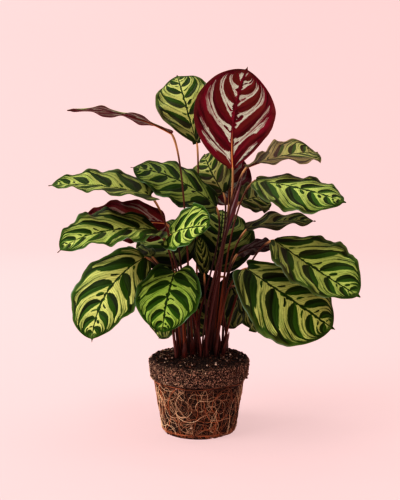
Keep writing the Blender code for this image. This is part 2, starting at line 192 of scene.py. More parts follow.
def tubes(paths: Array, radii: Array, reference: Array, sides: int) -> tuple[Array, list[Array]]:
    """Closed tubes of one point count along many paths at once.

    Each ring lies square to its path. Its first point looks along the part of
    the reference vector that is square to the path, and the ring's points
    are centre + radius * (cos * first + sin * third).

    Args:
        paths: Points of the paths, tube by tube.
        radii: Half-widths, with a last axis for the sides where they differ.
        reference: A vector for each path point that is never along the path.
        sides: Number of points in a ring.

    Returns:
        The points, and the arrays of quads and of end-cap triangles.
    """
    count, steps = paths.shape[:2]
    tangent = unit(np.gradient(paths, axis=1))
    first = unit(reference - tangent * np.sum(reference * tangent, axis=-1, keepdims=True))
    third = np.cross(tangent, first)
    turn = np.arange(sides) * 2 * np.pi / sides
    around = (np.cos(turn)[:, None] * first[:, :, None]
              + np.sin(turn)[:, None] * third[:, :, None])
    radii = radii if radii.ndim == 3 else np.repeat(radii[:, :, None], sides, axis=2)
    rings = paths[:, :, None] + radii[..., None] * around
    block = steps * sides + 2
    points = np.concatenate([rings.reshape(count, -1, 3), paths[:, :1], paths[:, -1:]], axis=1)
    ring, side = np.meshgrid(np.arange(steps - 1), np.arange(sides), indexing="ij")
    here = ring * sides + side
    beside = ring * sides + (side + 1) % sides
    quads = np.stack([here, beside, beside + sides, here + sides], axis=-1).reshape(-1, 4)
    side = np.arange(sides)
    other = (side + 1) % sides
    last = (steps - 1) * sides
    first_cap = np.stack([np.full(sides, steps * sides), other, side], axis=-1)
    last_cap = np.stack([np.full(sides, steps * sides + 1), last + side, last + other], axis=-1)
    caps = np.concatenate([first_cap, last_cap])
    shift = (np.arange(count) * block)[:, None, None]
    return points.reshape(-1, 3), [(quads + shift).reshape(-1, 4), (caps + shift).reshape(-1, 3)]


def tube_places(along: Array, sides: int) -> Array:
    """Places of one tube's points along and round it, in the order of tubes."""
    grid = np.meshgrid(along, np.arange(sides) / sides, indexing="ij")
    return np.concatenate([np.stack(grid, axis=-1).reshape(-1, 2), [[0, 0], [1, 0]]])


# --------------------------------------------------------------- mesh making


@dataclass
class Surface:
    """A mesh in the making: points in millimetres, faces and what they carry.

    uv holds a pair for each point, kinds a material number for each face and
    traits a vector for each point under each name.
    """

    name: str
    points: Array
    faces: list[Array]
    uv: Array | None = None
    kinds: Array | None = None
    traits: dict[str, Array] | None = None
    sharp: float = 50.0

    def build(self, materials: list[Material]) -> Object:
        """Make the object, at the origin, unturned and unscaled.

        Args:
            materials: Materials in the order of kinds.

        Returns:
            The new object, linked to the scene.
        """
        mesh = bpy.data.meshes.new(self.name)
        mesh.vertices.add(len(self.points))
        mesh.vertices.foreach_set("co", (self.points * MM).astype(np.float32).ravel())
        corners = np.concatenate([part.ravel() for part in self.faces]).astype(np.int32)
        sizes = np.concatenate([np.full(len(part), part.shape[1]) for part in self.faces])
        mesh.loops.add(len(corners))
        mesh.loops.foreach_set("vertex_index", corners)
        mesh.polygons.add(len(sizes))
        starts = np.concatenate([[0], np.cumsum(sizes)[:-1]]).astype(np.int32)
        mesh.polygons.foreach_set("loop_start", starts)
        for material in materials:
            mesh.materials.append(material)
        if self.kinds is not None:
            mesh.polygons.foreach_set("material_index", self.kinds.astype(np.int32))
        if self.uv is not None:
            layer = mesh.uv_layers.new(name="places")
            layer.data.foreach_set("uv", self.uv[corners].astype(np.float32).ravel())
        for name, values in (self.traits or {}).items():
            trait = mesh.attributes.new(name, "FLOAT_VECTOR", "POINT")
            trait.data.foreach_set("vector", values.astype(np.float32).ravel())
        mesh.update(calc_edges=True)
        mesh.validate()
        mesh.shade_smooth()
        mesh.set_sharp_from_angle(angle=math.radians(self.sharp))
        obj = bpy.data.objects.new(self.name, mesh)
        bpy.context.scene.collection.objects.link(obj)
        return obj


def settle(obj: Object, slot: Slot, *nodes: str) -> None:
    """Let a piece ride on the plant and stand for CAD nodes.

    Args:
        obj: The finished piece.
        slot: Its slot in the record; not used.
        nodes: Names of the CAD nodes that it stands for.
    """
    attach(obj, "root")
    if nodes:
        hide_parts(*nodes)
    LOG.info("%s: %d faces", obj.name, len(obj.data.polygons))


# ------------------------------------------------------------- shader wiring

def srgb(red: int, green: int, blue: int) -> Colour:
    """Linear colour of an 8-bit screen colour."""
    shares = (red / 255, green / 255, blue / 255)
    return tuple(x / 12.92 if x <= 0.04045 else ((x + 0.055) / 1.055) ** 2.4 for x in shares)


class Number:
    """A shader value that places Math nodes as it is reckoned with."""

    def __init__(self, graph: Graph, socket: Socket) -> None:
        """Keep the graph and the output socket that holds the value."""
        self.graph = graph
        self.socket = socket

    def __add__(self, other: Number | float) -> Number:
        """Add."""
        return self.graph.math("ADD", self, other)

    def __sub__(self, other: Number | float) -> Number:
        """Subtract."""
        return self.graph.math("SUBTRACT", self, other)

    def __rsub__(self, other: float) -> Number:
        """Subtract from a number."""
        return self.graph.math("SUBTRACT", other, self)

    def __mul__(self, other: Number | float) -> Number:
        """Multiply."""
        return self.graph.math("MULTIPLY", self, other)

    def __truediv__(self, other: Number | float) -> Number:
        """Divide."""
        return self.graph.math("DIVIDE", self, other)

    def __pow__(self, other: float) -> Number:
        """Raise to a power."""
        return self.graph.math("POWER", self, other)

    def __abs__(self) -> Number:
        """Drop the sign."""
        return self.graph.math("ABSOLUTE", self)

    def most(self, other: Number | float) -> Number:
        """The larger of two values."""
        return self.graph.math("MAXIMUM", self, other)

    def least(self, other: Number | float) -> Number:
        """The smaller of two values."""
        return self.graph.math("MINIMUM", self, other)

    def over(self, other: Number | float) -> Number:
        """1 where it is greater than the other value, else 0."""
        return self.graph.math("GREATER_THAN", self, other)

    def part(self) -> Number:
        """What is left above the whole number below."""
        return self.graph.math("FRACT", self)

    def whole(self) -> Number:
        """The whole number below."""
        return self.graph.math("FLOOR", self)

    def root(self) -> Number:
        """The square root."""
        return self.graph.math("SQRT", self)

    def ease(self, low: float, high: float, first: float = 0.0, last: float = 1.0) -> Number:
        """Go smoothly from one value to another while this one crosses a range.

        Args:
            low: Where the change begins.
            high: Where it ends.
            first: Value below the range.
            last: Value above it.

        Returns:
            The eased value.
        """
        feeds = {"Value": self, "From Min": low, "From Max": high, "To Min": first, "To Max": last}
        node = self.graph.place("ShaderNodeMapRange", feeds, interpolation_type="SMOOTHSTEP")
        return Number(self.graph, node.outputs["Result"])

    def fade(self, low: float, high: float) -> Number:
        """1 below a range and 0 above it."""
        return self.ease(low, high, 1.0, 0.0)


Feed = Number | Socket | Colour | float


class Graph:
    """Short ways to place and join shader nodes in one node tree."""

    def __init__(self, tree: Tree) -> None:
        """Keep the tree of a material or of a group."""
        self.tree = tree
        self.count = 0

    def place(self, kind: str, feeds: dict[int | str, Feed] | None = None,
              **settings: object) -> Node:
        """Add a node, give it its settings and feed its inputs.

        Args:
            kind: Blender's name of the node type.
            feeds: Values for its inputs, by their names or numbers.
            settings: Values for the node's own properties.

        Returns:
            The new node.
        """
        node = self.tree.nodes.new(kind)
        node.location = (220 * (self.count // 8), -160 * (self.count % 8))
        self.count += 1
        for name, value in settings.items():
            setattr(node, name, value)
        for name, value in (feeds or {}).items():
            self.feed(node.inputs[name], value)
        return node

    def feed(self, target: Socket, value: Feed) -> None:
        """Link a value into an input, or set it there.

        Args:
            target: The input socket.
            value: A Number, an output socket, a colour or a plain number.
        """
        if isinstance(value, Number):
            self.tree.links.new(value.socket, target)
        elif isinstance(value, Socket):
            self.tree.links.new(value, target)
        elif isinstance(value, tuple) and target.type == "RGBA":
            target.default_value = (*value, 1.0)
        else:
            target.default_value = value

    def math(self, operation: str, *values: Number | float) -> Number:
        """The result of a Math node."""
        node = self.place("ShaderNodeMath", dict(enumerate(values)), operation=operation)
        return Number(self, node.outputs[0])

    def vector(self, x: Number | float, y: Number | float, z: Number | float) -> Socket:
        """Three values as a vector."""
        return self.place("ShaderNodeCombineXYZ", {0: x, 1: y, 2: z}).outputs[0]

    def noise(self, vector: Socket, scale: float = 1.0, detail: float = 2.0,
              rough: float = 0.5) -> Number:
        """Noise about 0.5 at a vector.

        Args:
            vector: Where to read it.
            scale: Cells per unit.
            detail: Number of finer octaves.
            rough: Strength of the finer octaves.

        Returns:
            The noise value.
        """
        feeds = {"Vector": vector, "Scale": scale, "Detail": detail, "Roughness": rough}
        node = self.place("ShaderNodeTexNoise", feeds, noise_dimensions="3D")
        return Number(self, node.outputs[0])

    def speck(self, vector: Socket, scale: float) -> Number:
        """Distance from a vector to the nearest of some scattered points."""
        node = self.place("ShaderNodeTexVoronoi", {"Vector": vector, "Scale": scale}, feature="F1")
        return Number(self, node.outputs["Distance"])

    def chance(self, value: Number) -> Number:
        """A fixed random value for each whole number."""
        node = self.place("ShaderNodeTexWhiteNoise", {"W": value}, noise_dimensions="1D")
        return Number(self, node.outputs["Value"])

    def mix(self, share: Number | float, first: Socket | Colour,
            second: Socket | Colour) -> Socket:
        """Mix two colours by the share of the second."""
        feeds = {0: share, 6: first, 7: second}
        return self.place("ShaderNodeMix", feeds, data_type="RGBA", clamp_factor=True).outputs[2]

    def trait(self, name: str) -> tuple[Number, ...]:
        """The three values of a vector attribute of the mesh."""
        node = self.place("ShaderNodeAttribute", attribute_type="GEOMETRY", attribute_name=name)
        return self.split(node.outputs["Vector"])

    def split(self, vector: Socket) -> tuple[Number, ...]:
        """The three values of a vector."""
        node = self.place("ShaderNodeSeparateXYZ", {0: vector})
        return tuple(Number(self, output) for output in node.outputs)

    def places(self) -> tuple[Number, ...]:
        """The two values of the UV map "places"."""
        return self.split(self.place("ShaderNodeUVMap", uv_map="places").outputs[0])[:2]

    def position(self) -> Socket:
        """The object coordinates' output socket."""
        return self.place("ShaderNodeTexCoord").outputs["Object"]

    def bump(self, height: Number, distance: float, strength: float) -> Socket:
        """Normal of a height, of which 1 stands for a distance in metres."""
        feeds = {"Distance": distance, "Strength": strength, "Height": height}
        return self.place("ShaderNodeBump", feeds).outputs[0]

    def use(self, group: Tree, names: tuple[str, ...],
            **values: Number | float) -> tuple[Number, ...]:
        """Outputs of a node group, by their names, for values of its inputs."""
        node = self.place("ShaderNodeGroup", values, node_tree=group)
        return tuple(Number(self, node.outputs[name]) for name in names)

    def dress(self, shader: Node, colour: Socket, rough: Number, normal: Socket) -> None:
        """Feed a Principled node its colour, roughness and normal."""
        for name, value in (("Base Color", colour), ("Roughness", rough), ("Normal", normal)):
            self.feed(shader.inputs[name], value)


def new_group(name: str, inputs: tuple[str, ...],
              outputs: tuple[str, ...]) -> tuple[Graph, dict[str, Number], Node]:
    """Start a shader group of plain values.

    Args:
        name: Name of the group.
        inputs: Names of its inputs.
        outputs: Names of its outputs.

    Returns:
        Its graph, its inputs by name, and its output node.
    """
    tree = bpy.data.node_groups.new(name, "ShaderNodeTree")
    for entry in inputs:
        tree.interface.new_socket(entry, in_out="INPUT", socket_type="NodeSocketFloat")
    for entry in outputs:
        tree.interface.new_socket(entry, in_out="OUTPUT", socket_type="NodeSocketFloat")
    graph = Graph(tree)
    entry_node = graph.place("NodeGroupInput")
    exit_node = graph.place("NodeGroupOutput")
    given = {entry: Number(graph, entry_node.outputs[entry]) for entry in inputs}
    return graph, given, exit_node


def new_material(name: str, specular: float) -> tuple[Material, Graph, Node]:
    """Start a material.

    Args:
        name: Name of the material.
        specular: Level of its plain shine.

    Returns:
        The material, its graph and its Principled node.
    """
    material = bpy.data.materials.new(name)
    material.use_nodes = True
    graph = Graph(material.node_tree)
    shader = material.node_tree.nodes["Principled BSDF"]
    shader.inputs["Specular IOR Level"].default_value = specular
    return material, graph, shader


# -------------------------------------------------------------- leaf pattern


@dataclass(frozen=True)
class BladePlace:
    """Shader values at a place on a blade, which the marks are drawn from.

    reach runs out from the midrib to the margin. off is the distance from
    the middle of the lane and edge that from its nearer edge, in widths of
    a lane. frayed is reach with uneven ends, and close rises where the marks
    meet at the margin. young rises towards the base, luck is the lane's own
    random share, and bold is 1 where the marks are broad.
    """

    reach: Number
    off: Number
    edge: Number
    frayed: Number
    close: Number
    young: Number
    luck: Number
    bold: Number


@dataclass(frozen=True)
class LeafPattern:
    """The peacock pattern: ovals, pale bands, a margin and fine veins.

    The pattern runs in lanes between the side veins. sweep, lean and turn
    carry the veins towards the tip. lanes is their number on each side,
    crowd how many more the tip takes in, and slow how quickly they run on
    behind the base. The other values are sizes of the marks, lengths as
    shares of the half-width and widths as shares of a lane.
    """

    sweep: float = 0.70
    lean: float = 0.50
    turn: float = 1.50
    lanes: float = 3.6
    crowd: float = 1.6
    slow: float = 0.75
    oval_start: float = 0.03
    oval_length: float = 0.32
    oval_width: float = 0.305
    spot_place: float = 0.15
    spot_length: float = 0.05
    spot_width: float = 0.11
    spot_luck: float = 0.45
    spine_width: float = 0.016
    hairs: float = 10.0

    def lane_at(self, along: Array, reach: Array, right: Array, leaf: Leaf) -> Array:
        """Lane of the pattern at places on a blade, as the shader reckons it.

        A side vein that leaves the midrib at r passes a place s along and t
        out where s = r + A(1 - r)(lean + turn * r), A = sweep * (0.5t +
        0.5t^3), which is solved for r as a quadratic. Lanes crowd towards the
        tip: the lane is r * lanes + r^4 * crowd, and slower below r = 0.

        Args:
            along: Places along the midrib.
            reach: Places out from it, from 0 to 1.
            right: 1 on the right side and 0 on the left.
            leaf: The leaf, for its own shift and rise.

        Returns:
            The lane numbers.
        """
        sweep = self.sweep * leaf.rise * (0.5 * reach + 0.5 * reach ** 3)
        slope = 1 + sweep * (self.turn - self.lean)
        past = along - sweep * self.lean
        inner = np.clip(slope ** 2 - 4 * self.turn * sweep * past, 0, None)
        start = 2 * past / (slope + np.sqrt(inner))
        ahead = np.clip(start, 0, 1)
        lane = ahead * self.lanes + ahead ** 4 * self.crowd
        lane = lane + np.clip(start, -2, 0) * self.lanes * self.slow
        return lane + 0.5 * right + leaf.seed

    def oval(self, at: BladePlace) -> Number:
        """Long dark oval in the middle of a lane: half-width (1 - x^2)^0.66.

        Args:
            at: Values at the place.

        Returns:
            1 inside the oval and 0 outside.
        """
        length = at.luck * 0.08 + self.oval_length
        swell = (at.reach - length - self.oval_start) / length
        width = (1.0 - swell * swell).most(0.0) ** 0.66
        width = width * (at.young * 0.05 + at.bold * 0.045 + self.oval_width)
        return (at.off - width).fade(-0.012, 0.022)

    def marks(self, at: BladePlace) -> Number:
        """The other dark marks of a lane.

        A small oval lies by the midrib at the edge of some lanes. A stem joins
        the long oval to the midrib, and a tail runs on from it and widens into
        the margin. A streak along the lane's edge splits its pale band, which
        two thin lines split once more, to pointed fingers.

        Args:
            at: Values at the place.

        Returns:
            1 inside a mark and 0 outside.
        """
        swell = (at.reach - self.spot_place) / (at.luck * 0.05 + self.spot_length)
        width = (1.0 - swell * swell).most(0.0) ** 0.4 * self.spot_width
        spot = (at.edge - width).fade(-0.012, 0.016) * at.luck.over(self.spot_luck)
        spot = spot * at.reach.over(0.05) * (0.25 - at.reach).over(0.0)
        stem = at.bold * 0.13 + 0.035
        stem = (at.off - stem).fade(-0.01, 0.02) * at.reach.fade(0.08, 0.14)
        tail = at.frayed.ease(0.50, 0.82) * 0.075 + 0.030 + at.close * 0.42 + at.bold * 0.14
        tail = (at.off - tail).fade(-0.014, 0.020) * at.reach.ease(0.42, 0.52)
        streak = at.frayed.ease(0.40, 0.80) * 0.040 + 0.010 + at.young * 0.02 + at.close * 0.22
        streak = (at.edge - streak).fade(-0.010, 0.014) * at.frayed.ease(0.22, 0.32)
        first = abs(at.edge - 0.100) - at.frayed.ease(0.50, 0.90) * 0.026
        first = first.fade(-0.008, 0.010) * at.frayed.ease(0.32, 0.44)
        second = abs(at.edge - 0.205) - at.frayed.ease(0.62, 0.92) * 0.036
        second = second.fade(-0.008, 0.010) * at.frayed.ease(0.56, 0.64)
        return spot.most(tail).most(streak).most(stem).most(first.most(second) * 0.85)

    def build(self) -> Tree:
        """Make the shader group, whose lanes follow lane_at.

        Returns:
            The group's tree.
        """
        graph, given, out = new_group(
            "leaf_pattern", ("Along", "Across", "Seed", "Rise", "Bold"),
            ("Pale", "Oval", "Margin", "Line", "Rim", "Lane", "Start", "Side"))
        along, across, seed, rise, bold = given.values()
        reach = abs(across)
        right = across.over(0.0)
        shift = seed * 19.0 + right * 7.0
        wander = graph.noise(graph.vector(along * 2.6, reach * 1.4, shift)) - 0.5
        sweep = (reach * 0.5 + reach ** 3.0 * 0.5) * self.sweep * rise
        slope = sweep * (self.turn - self.lean) + 1.0
        past = along + wander * 0.06 - sweep * self.lean
        inner = (slope * slope - sweep * past * (4.0 * self.turn)).most(0.0)
        start = past * 2.0 / (slope + inner.root())
        ahead = start.most(0.0)
        lane = ahead * self.lanes + ahead ** 4.0 * self.crowd
        lane = lane + start.least(0.0) * (self.lanes * self.slow) + right * 0.5 + seed
        fray = graph.noise(graph.vector(lane * 5.0, reach * 2.2, shift), detail=3.0) - 0.5
        teeth = graph.noise(graph.vector(lane * 30.0, reach * 14.0, shift), detail=1.0) - 0.5
        lane = lane + fray * (reach * 0.16 + 0.05) + teeth * (bold * 0.07 + 0.05)
        side = lane.part() - 0.5
        off = abs(side)
        frayed = reach + fray * 0.14
        outer = frayed.most(along + fray * 0.06 - 0.02)
        at = BladePlace(
            reach, off, 0.5 - off, frayed, outer.ease(0.80, 0.97),
            start.fade(-0.10, 0.30),
            graph.chance(lane.whole() + right * 31.0 + (seed * 57.0).whole()), bold)
        feather = graph.noise(graph.vector(along * 19.0, right * 5.0, shift), detail=3.0)
        spine = feather.ease(0.38, 0.76) * (bold * 0.06 + 0.06) + self.spine_width
        oval = self.oval(at)
        dark = oval.most(self.marks(at)).most((reach - spine).fade(-0.008, 0.012))
        margin = outer.ease(0.88, 0.95)
        ends = along.ease(0.010, 0.05) * (1.0 - margin) * start.ease(-0.75, -0.45)
        fine = abs((lane * self.hairs).part() - 0.5)
        hair = graph.noise(graph.vector(lane * 13.0, reach * 0.9, shift + 3.0), detail=1.0)
        hair = hair.ease(0.50, 0.60) * frayed.ease(0.10, 0.45)
        results = {
            "Pale": (1.0 - dark) * ends,
            "Oval": oval,
            "Margin": margin,
            "Line": fine.fade(0.0, 0.20).most(hair),
            "Rim": reach.ease(0.955, 0.985),
            "Lane": lane,
            "Start": start,
            "Side": side,
        }
        for name, value in results.items():
            graph.feed(out.inputs[name], value)
        return graph.tree


def grain_group() -> Tree:
    """Make long streaks that run along a stem, root or leaf.

    Noise is read at the place along it, slowly, and around it, quickly.

    Returns:
        The group's tree.
    """
    graph, given, out = new_group("grain", ("Along", "Around", "Seed"), ("Streak", "Blotch"))
    along, around, seed = given.values()
    streak = graph.noise(graph.vector(along, around, seed), detail=3.0)
    blotch = graph.noise(graph.vector(along * 0.35, around * 0.15, seed), detail=2.0)
    graph.feed(out.inputs["Streak"], streak)
    graph.feed(out.inputs["Blotch"], blotch)
    return graph.tree


# ------------------------------------------------------------------ finishes


@dataclass(frozen=True)
class Groups:
    """The two shader groups that the finishes share."""

    pattern: Tree
    grain: Tree

    def streaks(self, graph: Graph, along: Number, around: Number,
                seed: Number | float) -> tuple[Number, ...]:
        """Streak and blotch at places along and across the streaks of a surface."""
        names = ("Streak", "Blotch")
        return graph.use(self.grain, names, Along=along, Around=around, Seed=seed)


@dataclass(frozen=True)
class UpperLeafFinish:
    """Upper side of a blade: pale bands, dark ovals and a green margin.

    relief is the height of its bumps in metres, as in the other finishes.
    """

    yellow: Colour = srgb(207, 213, 129)
    lime: Colour = srgb(146, 183, 76)
    oval: Colour = srgb(19, 31, 5)
    # Lit half of each oval: painted light, as if one side of its pleat faced the lamps.
    oval_painted_lit: Colour = srgb(50, 86, 16)
    margin: Colour = srgb(62, 94, 24)
    # Pale colour of a painted glint along the margin.
    rim: Colour = srgb(150, 184, 160)
    midrib: Colour = srgb(34, 48, 18)
    olive: Colour = srgb(140, 124, 84)
    bronze: Colour = srgb(76, 56, 46)
    shade: Colour = srgb(12, 8, 4)
    roughness: float = 0.36
    specular: float = 0.07
    relief: float = 0.0006

    def build(self, groups: Groups) -> Material:
        """Make the material.

        Args:
            groups: The shared shader groups.

        Returns:
            The material.
        """
        material, graph, shader = new_material("leaf_upper", self.specular)
        along, v = graph.places()
        across = v * 2.0 - 1.0
        seed, lime, age = graph.trait("leaf")
        out_mm, painted_shade, rise = graph.trait("rib")
        pale, margin, line, rim, lane, start, side = graph.use(
            groups.pattern, ("Pale", "Margin", "Line", "Rim", "Lane", "Start", "Side"),
            Along=along, Across=across, Seed=seed, Rise=rise, Bold=0.0)
        streak, blotch = groups.streaks(graph, abs(across) * 2.0, lane * 12.0, seed * 9.0)
        band = graph.mix(lime + (blotch - 0.5) * 0.6, self.yellow, self.lime)
        band = graph.mix(line * 0.55 + streak.ease(0.50, 0.72) * 0.30, band, self.margin)
        # One half of each oval is painted lighter, as light on one side of its pleat, over the
        # oval's own streaks and blotches.
        half = side.ease(-0.03, 0.03)
        lit = half * 0.55 + streak.ease(0.35, 0.75) * 0.35 + blotch.ease(0.3, 0.6) * 0.4 - 0.1
        near = start.fade(0.05, 0.70) * 0.70 + 0.30
        aged = age * near * (blotch.ease(0.30, 0.60) * 0.6 + 0.4)
        band = graph.mix(aged, band, self.olive)
        oval = graph.mix(lit, self.oval, self.oval_painted_lit)
        oval = graph.mix(aged * (1.0 - half * 0.6), oval, self.bronze)
        edge = graph.mix(aged, self.margin, self.olive)
        ground = graph.mix(margin * 0.85 + streak.ease(0.4, 0.8) * 0.15, oval, edge)
        colour = graph.mix(pale, ground, band)
        colour = graph.mix(out_mm.fade(0.25, 0.8) * 0.85, colour, self.midrib)
        # Painted glint: a pale line along the margin where the edge would catch the light.
        painted_rim_glint = rim * (blotch.ease(0.46, 0.62) * 0.55 + 0.12)
        colour = graph.mix(painted_rim_glint * (1.0 - age), colour, self.rim)
        # Painted shade: near black over leaves that sit in shadow inside the plant, and over each
        # blade near its base, shaded by the leaves above.
        deep = painted_shade * 0.85 + start.ease(-0.05, 0.30, 0.30, 0.0)
        colour = graph.mix(deep, colour, self.shade)
        vein = abs(side).fade(0.0, 0.10) * abs(across).ease(0.02, 0.10)
        height = streak * 0.35 - line * 0.25 - vein * 0.8 + abs(side).ease(0.05, 0.50)
        graph.dress(shader, colour, streak * 0.16 + self.roughness + pale * 0.08,
                    graph.bump(height, self.relief, 0.9))
        return material


@dataclass(frozen=True)
class UnderLeafFinish:
    """Underside of a blade: wine red with silvery green bands."""

    wine: Colour = srgb(128, 22, 48)
    wine_dark: Colour = srgb(66, 6, 16)
    oval: Colour = srgb(108, 44, 30)
    silver: Colour = srgb(212, 228, 206)
    margin: Colour = srgb(104, 44, 40)
    midrib: Colour = srgb(112, 14, 38)
    gold: Colour = srgb(206, 146, 88)
    shade: Colour = srgb(20, 8, 6)
    roughness: float = 0.42
    specular: float = 0.13
    relief: float = 0.0005

    def build(self, groups: Groups) -> Material:
        """Make the material.

        Args:
            groups: The shared shader groups.

        Returns:
            The material.
        """
        material, graph, shader = new_material("leaf_under", self.specular)
        along, v = graph.places()
        across = v * 2.0 - 1.0
        seed, _, age = graph.trait("leaf")
        out_mm, painted_shade, rise = graph.trait("rib")
        pale, oval, margin, line, lane, side = graph.use(
            groups.pattern, ("Pale", "Oval", "Margin", "Line", "Lane", "Side"),
            Along=along, Across=across, Seed=seed, Rise=rise, Bold=1.0)
        streak, blotch = groups.streaks(graph, abs(across) * 2.0, lane * 12.0, seed * 9.0)
        # Streaks give the wine its own uneven tone; one half of each lane is painted lighter, as
        # light on one side of its pleat.
        lit = streak.ease(0.3, 0.7) * 0.6 + side.ease(-0.04, 0.04) * 0.4
        ground = graph.mix(lit, self.wine_dark, self.wine)
        ground = graph.mix(oval * blotch.ease(0.30, 0.65) * 0.8, ground, self.oval)
        ground = graph.mix(margin * 0.7, ground, self.margin)
        silver = graph.mix(line * 0.45 + streak.ease(0.5, 0.8) * 0.35, self.silver, self.wine)
        pale = pale * (out_mm + along * 0.8).ease(1.6, 2.8) * (1.0 - age * 0.75)
        colour = graph.mix(pale, ground, silver)
        rib = graph.mix(along.ease(0.16, 0.42), self.gold, self.midrib)
        colour = graph.mix((out_mm + along * 0.6).fade(0.55, 1.05), colour, rib)
        # Painted shade: near black over leaves that sit in shadow inside the plant.
        colour = graph.mix(painted_shade * 0.85, colour, self.shade)
        vein = abs(side).fade(0.0, 0.12) * abs(across).ease(0.02, 0.10)
        height = line * 0.3 + streak * 0.4 + vein - abs(side).ease(0.05, 0.50)
        graph.dress(shader, colour, streak * 0.16 + self.roughness,
                    graph.bump(height, self.relief, 0.9))
        return material


@dataclass(frozen=True)
class StalkFinish:
    """Stalks: wine or rust by each stalk's own tone, with a golden knee."""

    soil_end: Colour = srgb(34, 16, 11)
    wine: Colour = srgb(86, 24, 14)
    rust: Colour = srgb(140, 74, 38)
    stem: Colour = srgb(62, 30, 18)
    green: Colour = srgb(92, 76, 38)
    knee: Colour = srgb(194, 148, 98)
    roughness: float = 0.32
    specular: float = 0.3
    relief: float = 0.0003

    def build(self, groups: Groups) -> Material:
        """Make the material.

        Args:
            groups: The shared shader groups.

        Returns:
            The material.
        """
        material, graph, shader = new_material("stalk", self.specular)
        along, around = graph.places()
        seed, gold, tone = graph.trait("stalk")
        streak, blotch = groups.streaks(graph, along * 14.0, around * 9.0, seed * 23.0)
        warm = tone.ease(0.30, 0.75) * 0.8 + (streak - 0.5) * 0.6
        colour = graph.mix(warm, self.wine, self.rust)
        colour = graph.mix(along.ease(0.30, 0.60) * (1.0 - tone * 0.6), colour, self.stem)
        colour = graph.mix(along.ease(0.0, 0.10, 0.8, 0.0), colour, self.soil_end)
        colour = graph.mix(streak.ease(0.50, 0.75) * tone * 0.5, colour, self.green)
        golden = (along + gold * 0.12 + blotch * 0.05).ease(0.90, 1.02)
        colour = graph.mix(golden, colour, self.knee)
        colour = graph.mix(blotch.ease(0.45, 0.75) * 0.5, colour, self.soil_end)
        graph.dress(shader, colour, streak * 0.2 + self.roughness,
                    graph.bump(streak, self.relief, 0.8))
        return material


@dataclass(frozen=True)
class SheathFinish:
    """Sheaths: brown-red, pinker and drier by each sheath's own tone."""

    dark: Colour = srgb(44, 18, 12)
    red: Colour = srgb(112, 44, 28)
    pink: Colour = srgb(168, 92, 84)
    roughness: float = 0.4
    specular: float = 0.5
    relief: float = 0.0004

    def build(self, groups: Groups) -> Material:
        """Make the material.

        Args:
            groups: The shared shader groups.

        Returns:
            The material.
        """
        material, graph, shader = new_material("sheath", self.specular)
        along, around = graph.places()
        tone, seed, _ = graph.trait("sheath")
        streak, _ = groups.streaks(graph, along * 5.0, around * 16.0, seed * 9.0)
        colour = graph.mix(streak.ease(0.3, 0.7), self.dark, self.red)
        colour = graph.mix(tone.ease(0.75, 1.0) * 0.8, colour, self.pink)
        colour = graph.mix(along.ease(0.0, 0.2, 0.6, 0.0), colour, self.dark)
        graph.dress(shader, colour, streak * 0.2 + self.roughness,
                    graph.bump(streak, self.relief, 0.8))
        return material


@dataclass(frozen=True)
class YoungLeafFinish:
    """The rolled young leaf: dark wine with paler streaks."""

    dark: Colour = srgb(52, 12, 18)
    light: Colour = srgb(112, 44, 48)
    stem: Colour = srgb(92, 46, 30)
    roughness: float = 0.28
    specular: float = 0.5
    relief: float = 0.0003
    seed: float = 3.0

    def build(self, groups: Groups) -> Material:
        """Make the material.

        Args:
            groups: The shared shader groups.

        Returns:
            The material.
        """
        material, graph, shader = new_material("young_leaf_roll_finish", self.specular)
        along, around = graph.places()
        streak, _ = groups.streaks(graph, along * 12.0, around * 10.0, self.seed)
        colour = graph.mix(streak.ease(0.35, 0.7), self.dark, self.light)
        colour = graph.mix(along.fade(0.58, 0.70), colour, self.stem)
        graph.dress(shader, colour, streak * 0.2 + self.roughness,
                    graph.bump(streak, self.relief, 0.8))
        return material


@dataclass(frozen=True)
class SoilFinish:
    """Moist potting mix: near black with brown crumbs and a film of roots."""

    dark: Colour = srgb(11, 6, 4)
    brown: Colour = srgb(40, 22, 14)
    dry: Colour = srgb(212, 168, 142)
    film: Colour = srgb(108, 60, 34)
    fleck: Colour = srgb(188, 156, 130)
    roughness: float = 0.8
    specular: float = 0.25
    relief: float = 0.0012

    def build(self) -> Material:
        """Make the material.

        Returns:
            The material.
        """
        material, graph, shader = new_material("potting_mix", self.specular)
        place = graph.position()
        film, dry, _ = graph.trait("ball")
        broad = graph.noise(place, scale=90.0, detail=3.0)
        fine = graph.noise(place, scale=520.0, detail=4.0, rough=0.65)
        colour = graph.mix(fine.ease(0.42, 0.66), self.dark, self.brown)
        grit = graph.noise(place, scale=760.0, detail=3.0, rough=0.6)
        colour = graph.mix(grit.ease(0.50, 0.66) * dry, colour, self.dry)
        web = graph.noise(place, scale=260.0, detail=5.0, rough=0.7)
        share = web.ease(0.50, 0.66) * film * broad.ease(0.30, 0.60)
        colour = graph.mix(share, colour, self.film)
        flecks = graph.speck(place, 420.0).fade(0.10, 0.20)
        colour = graph.mix(flecks * broad.ease(0.50, 0.62) * 0.8, colour, self.fleck)
        graph.dress(shader, colour, fine * 0.2 + self.roughness,
                    graph.bump(fine, self.relief, 1.0))
        return material


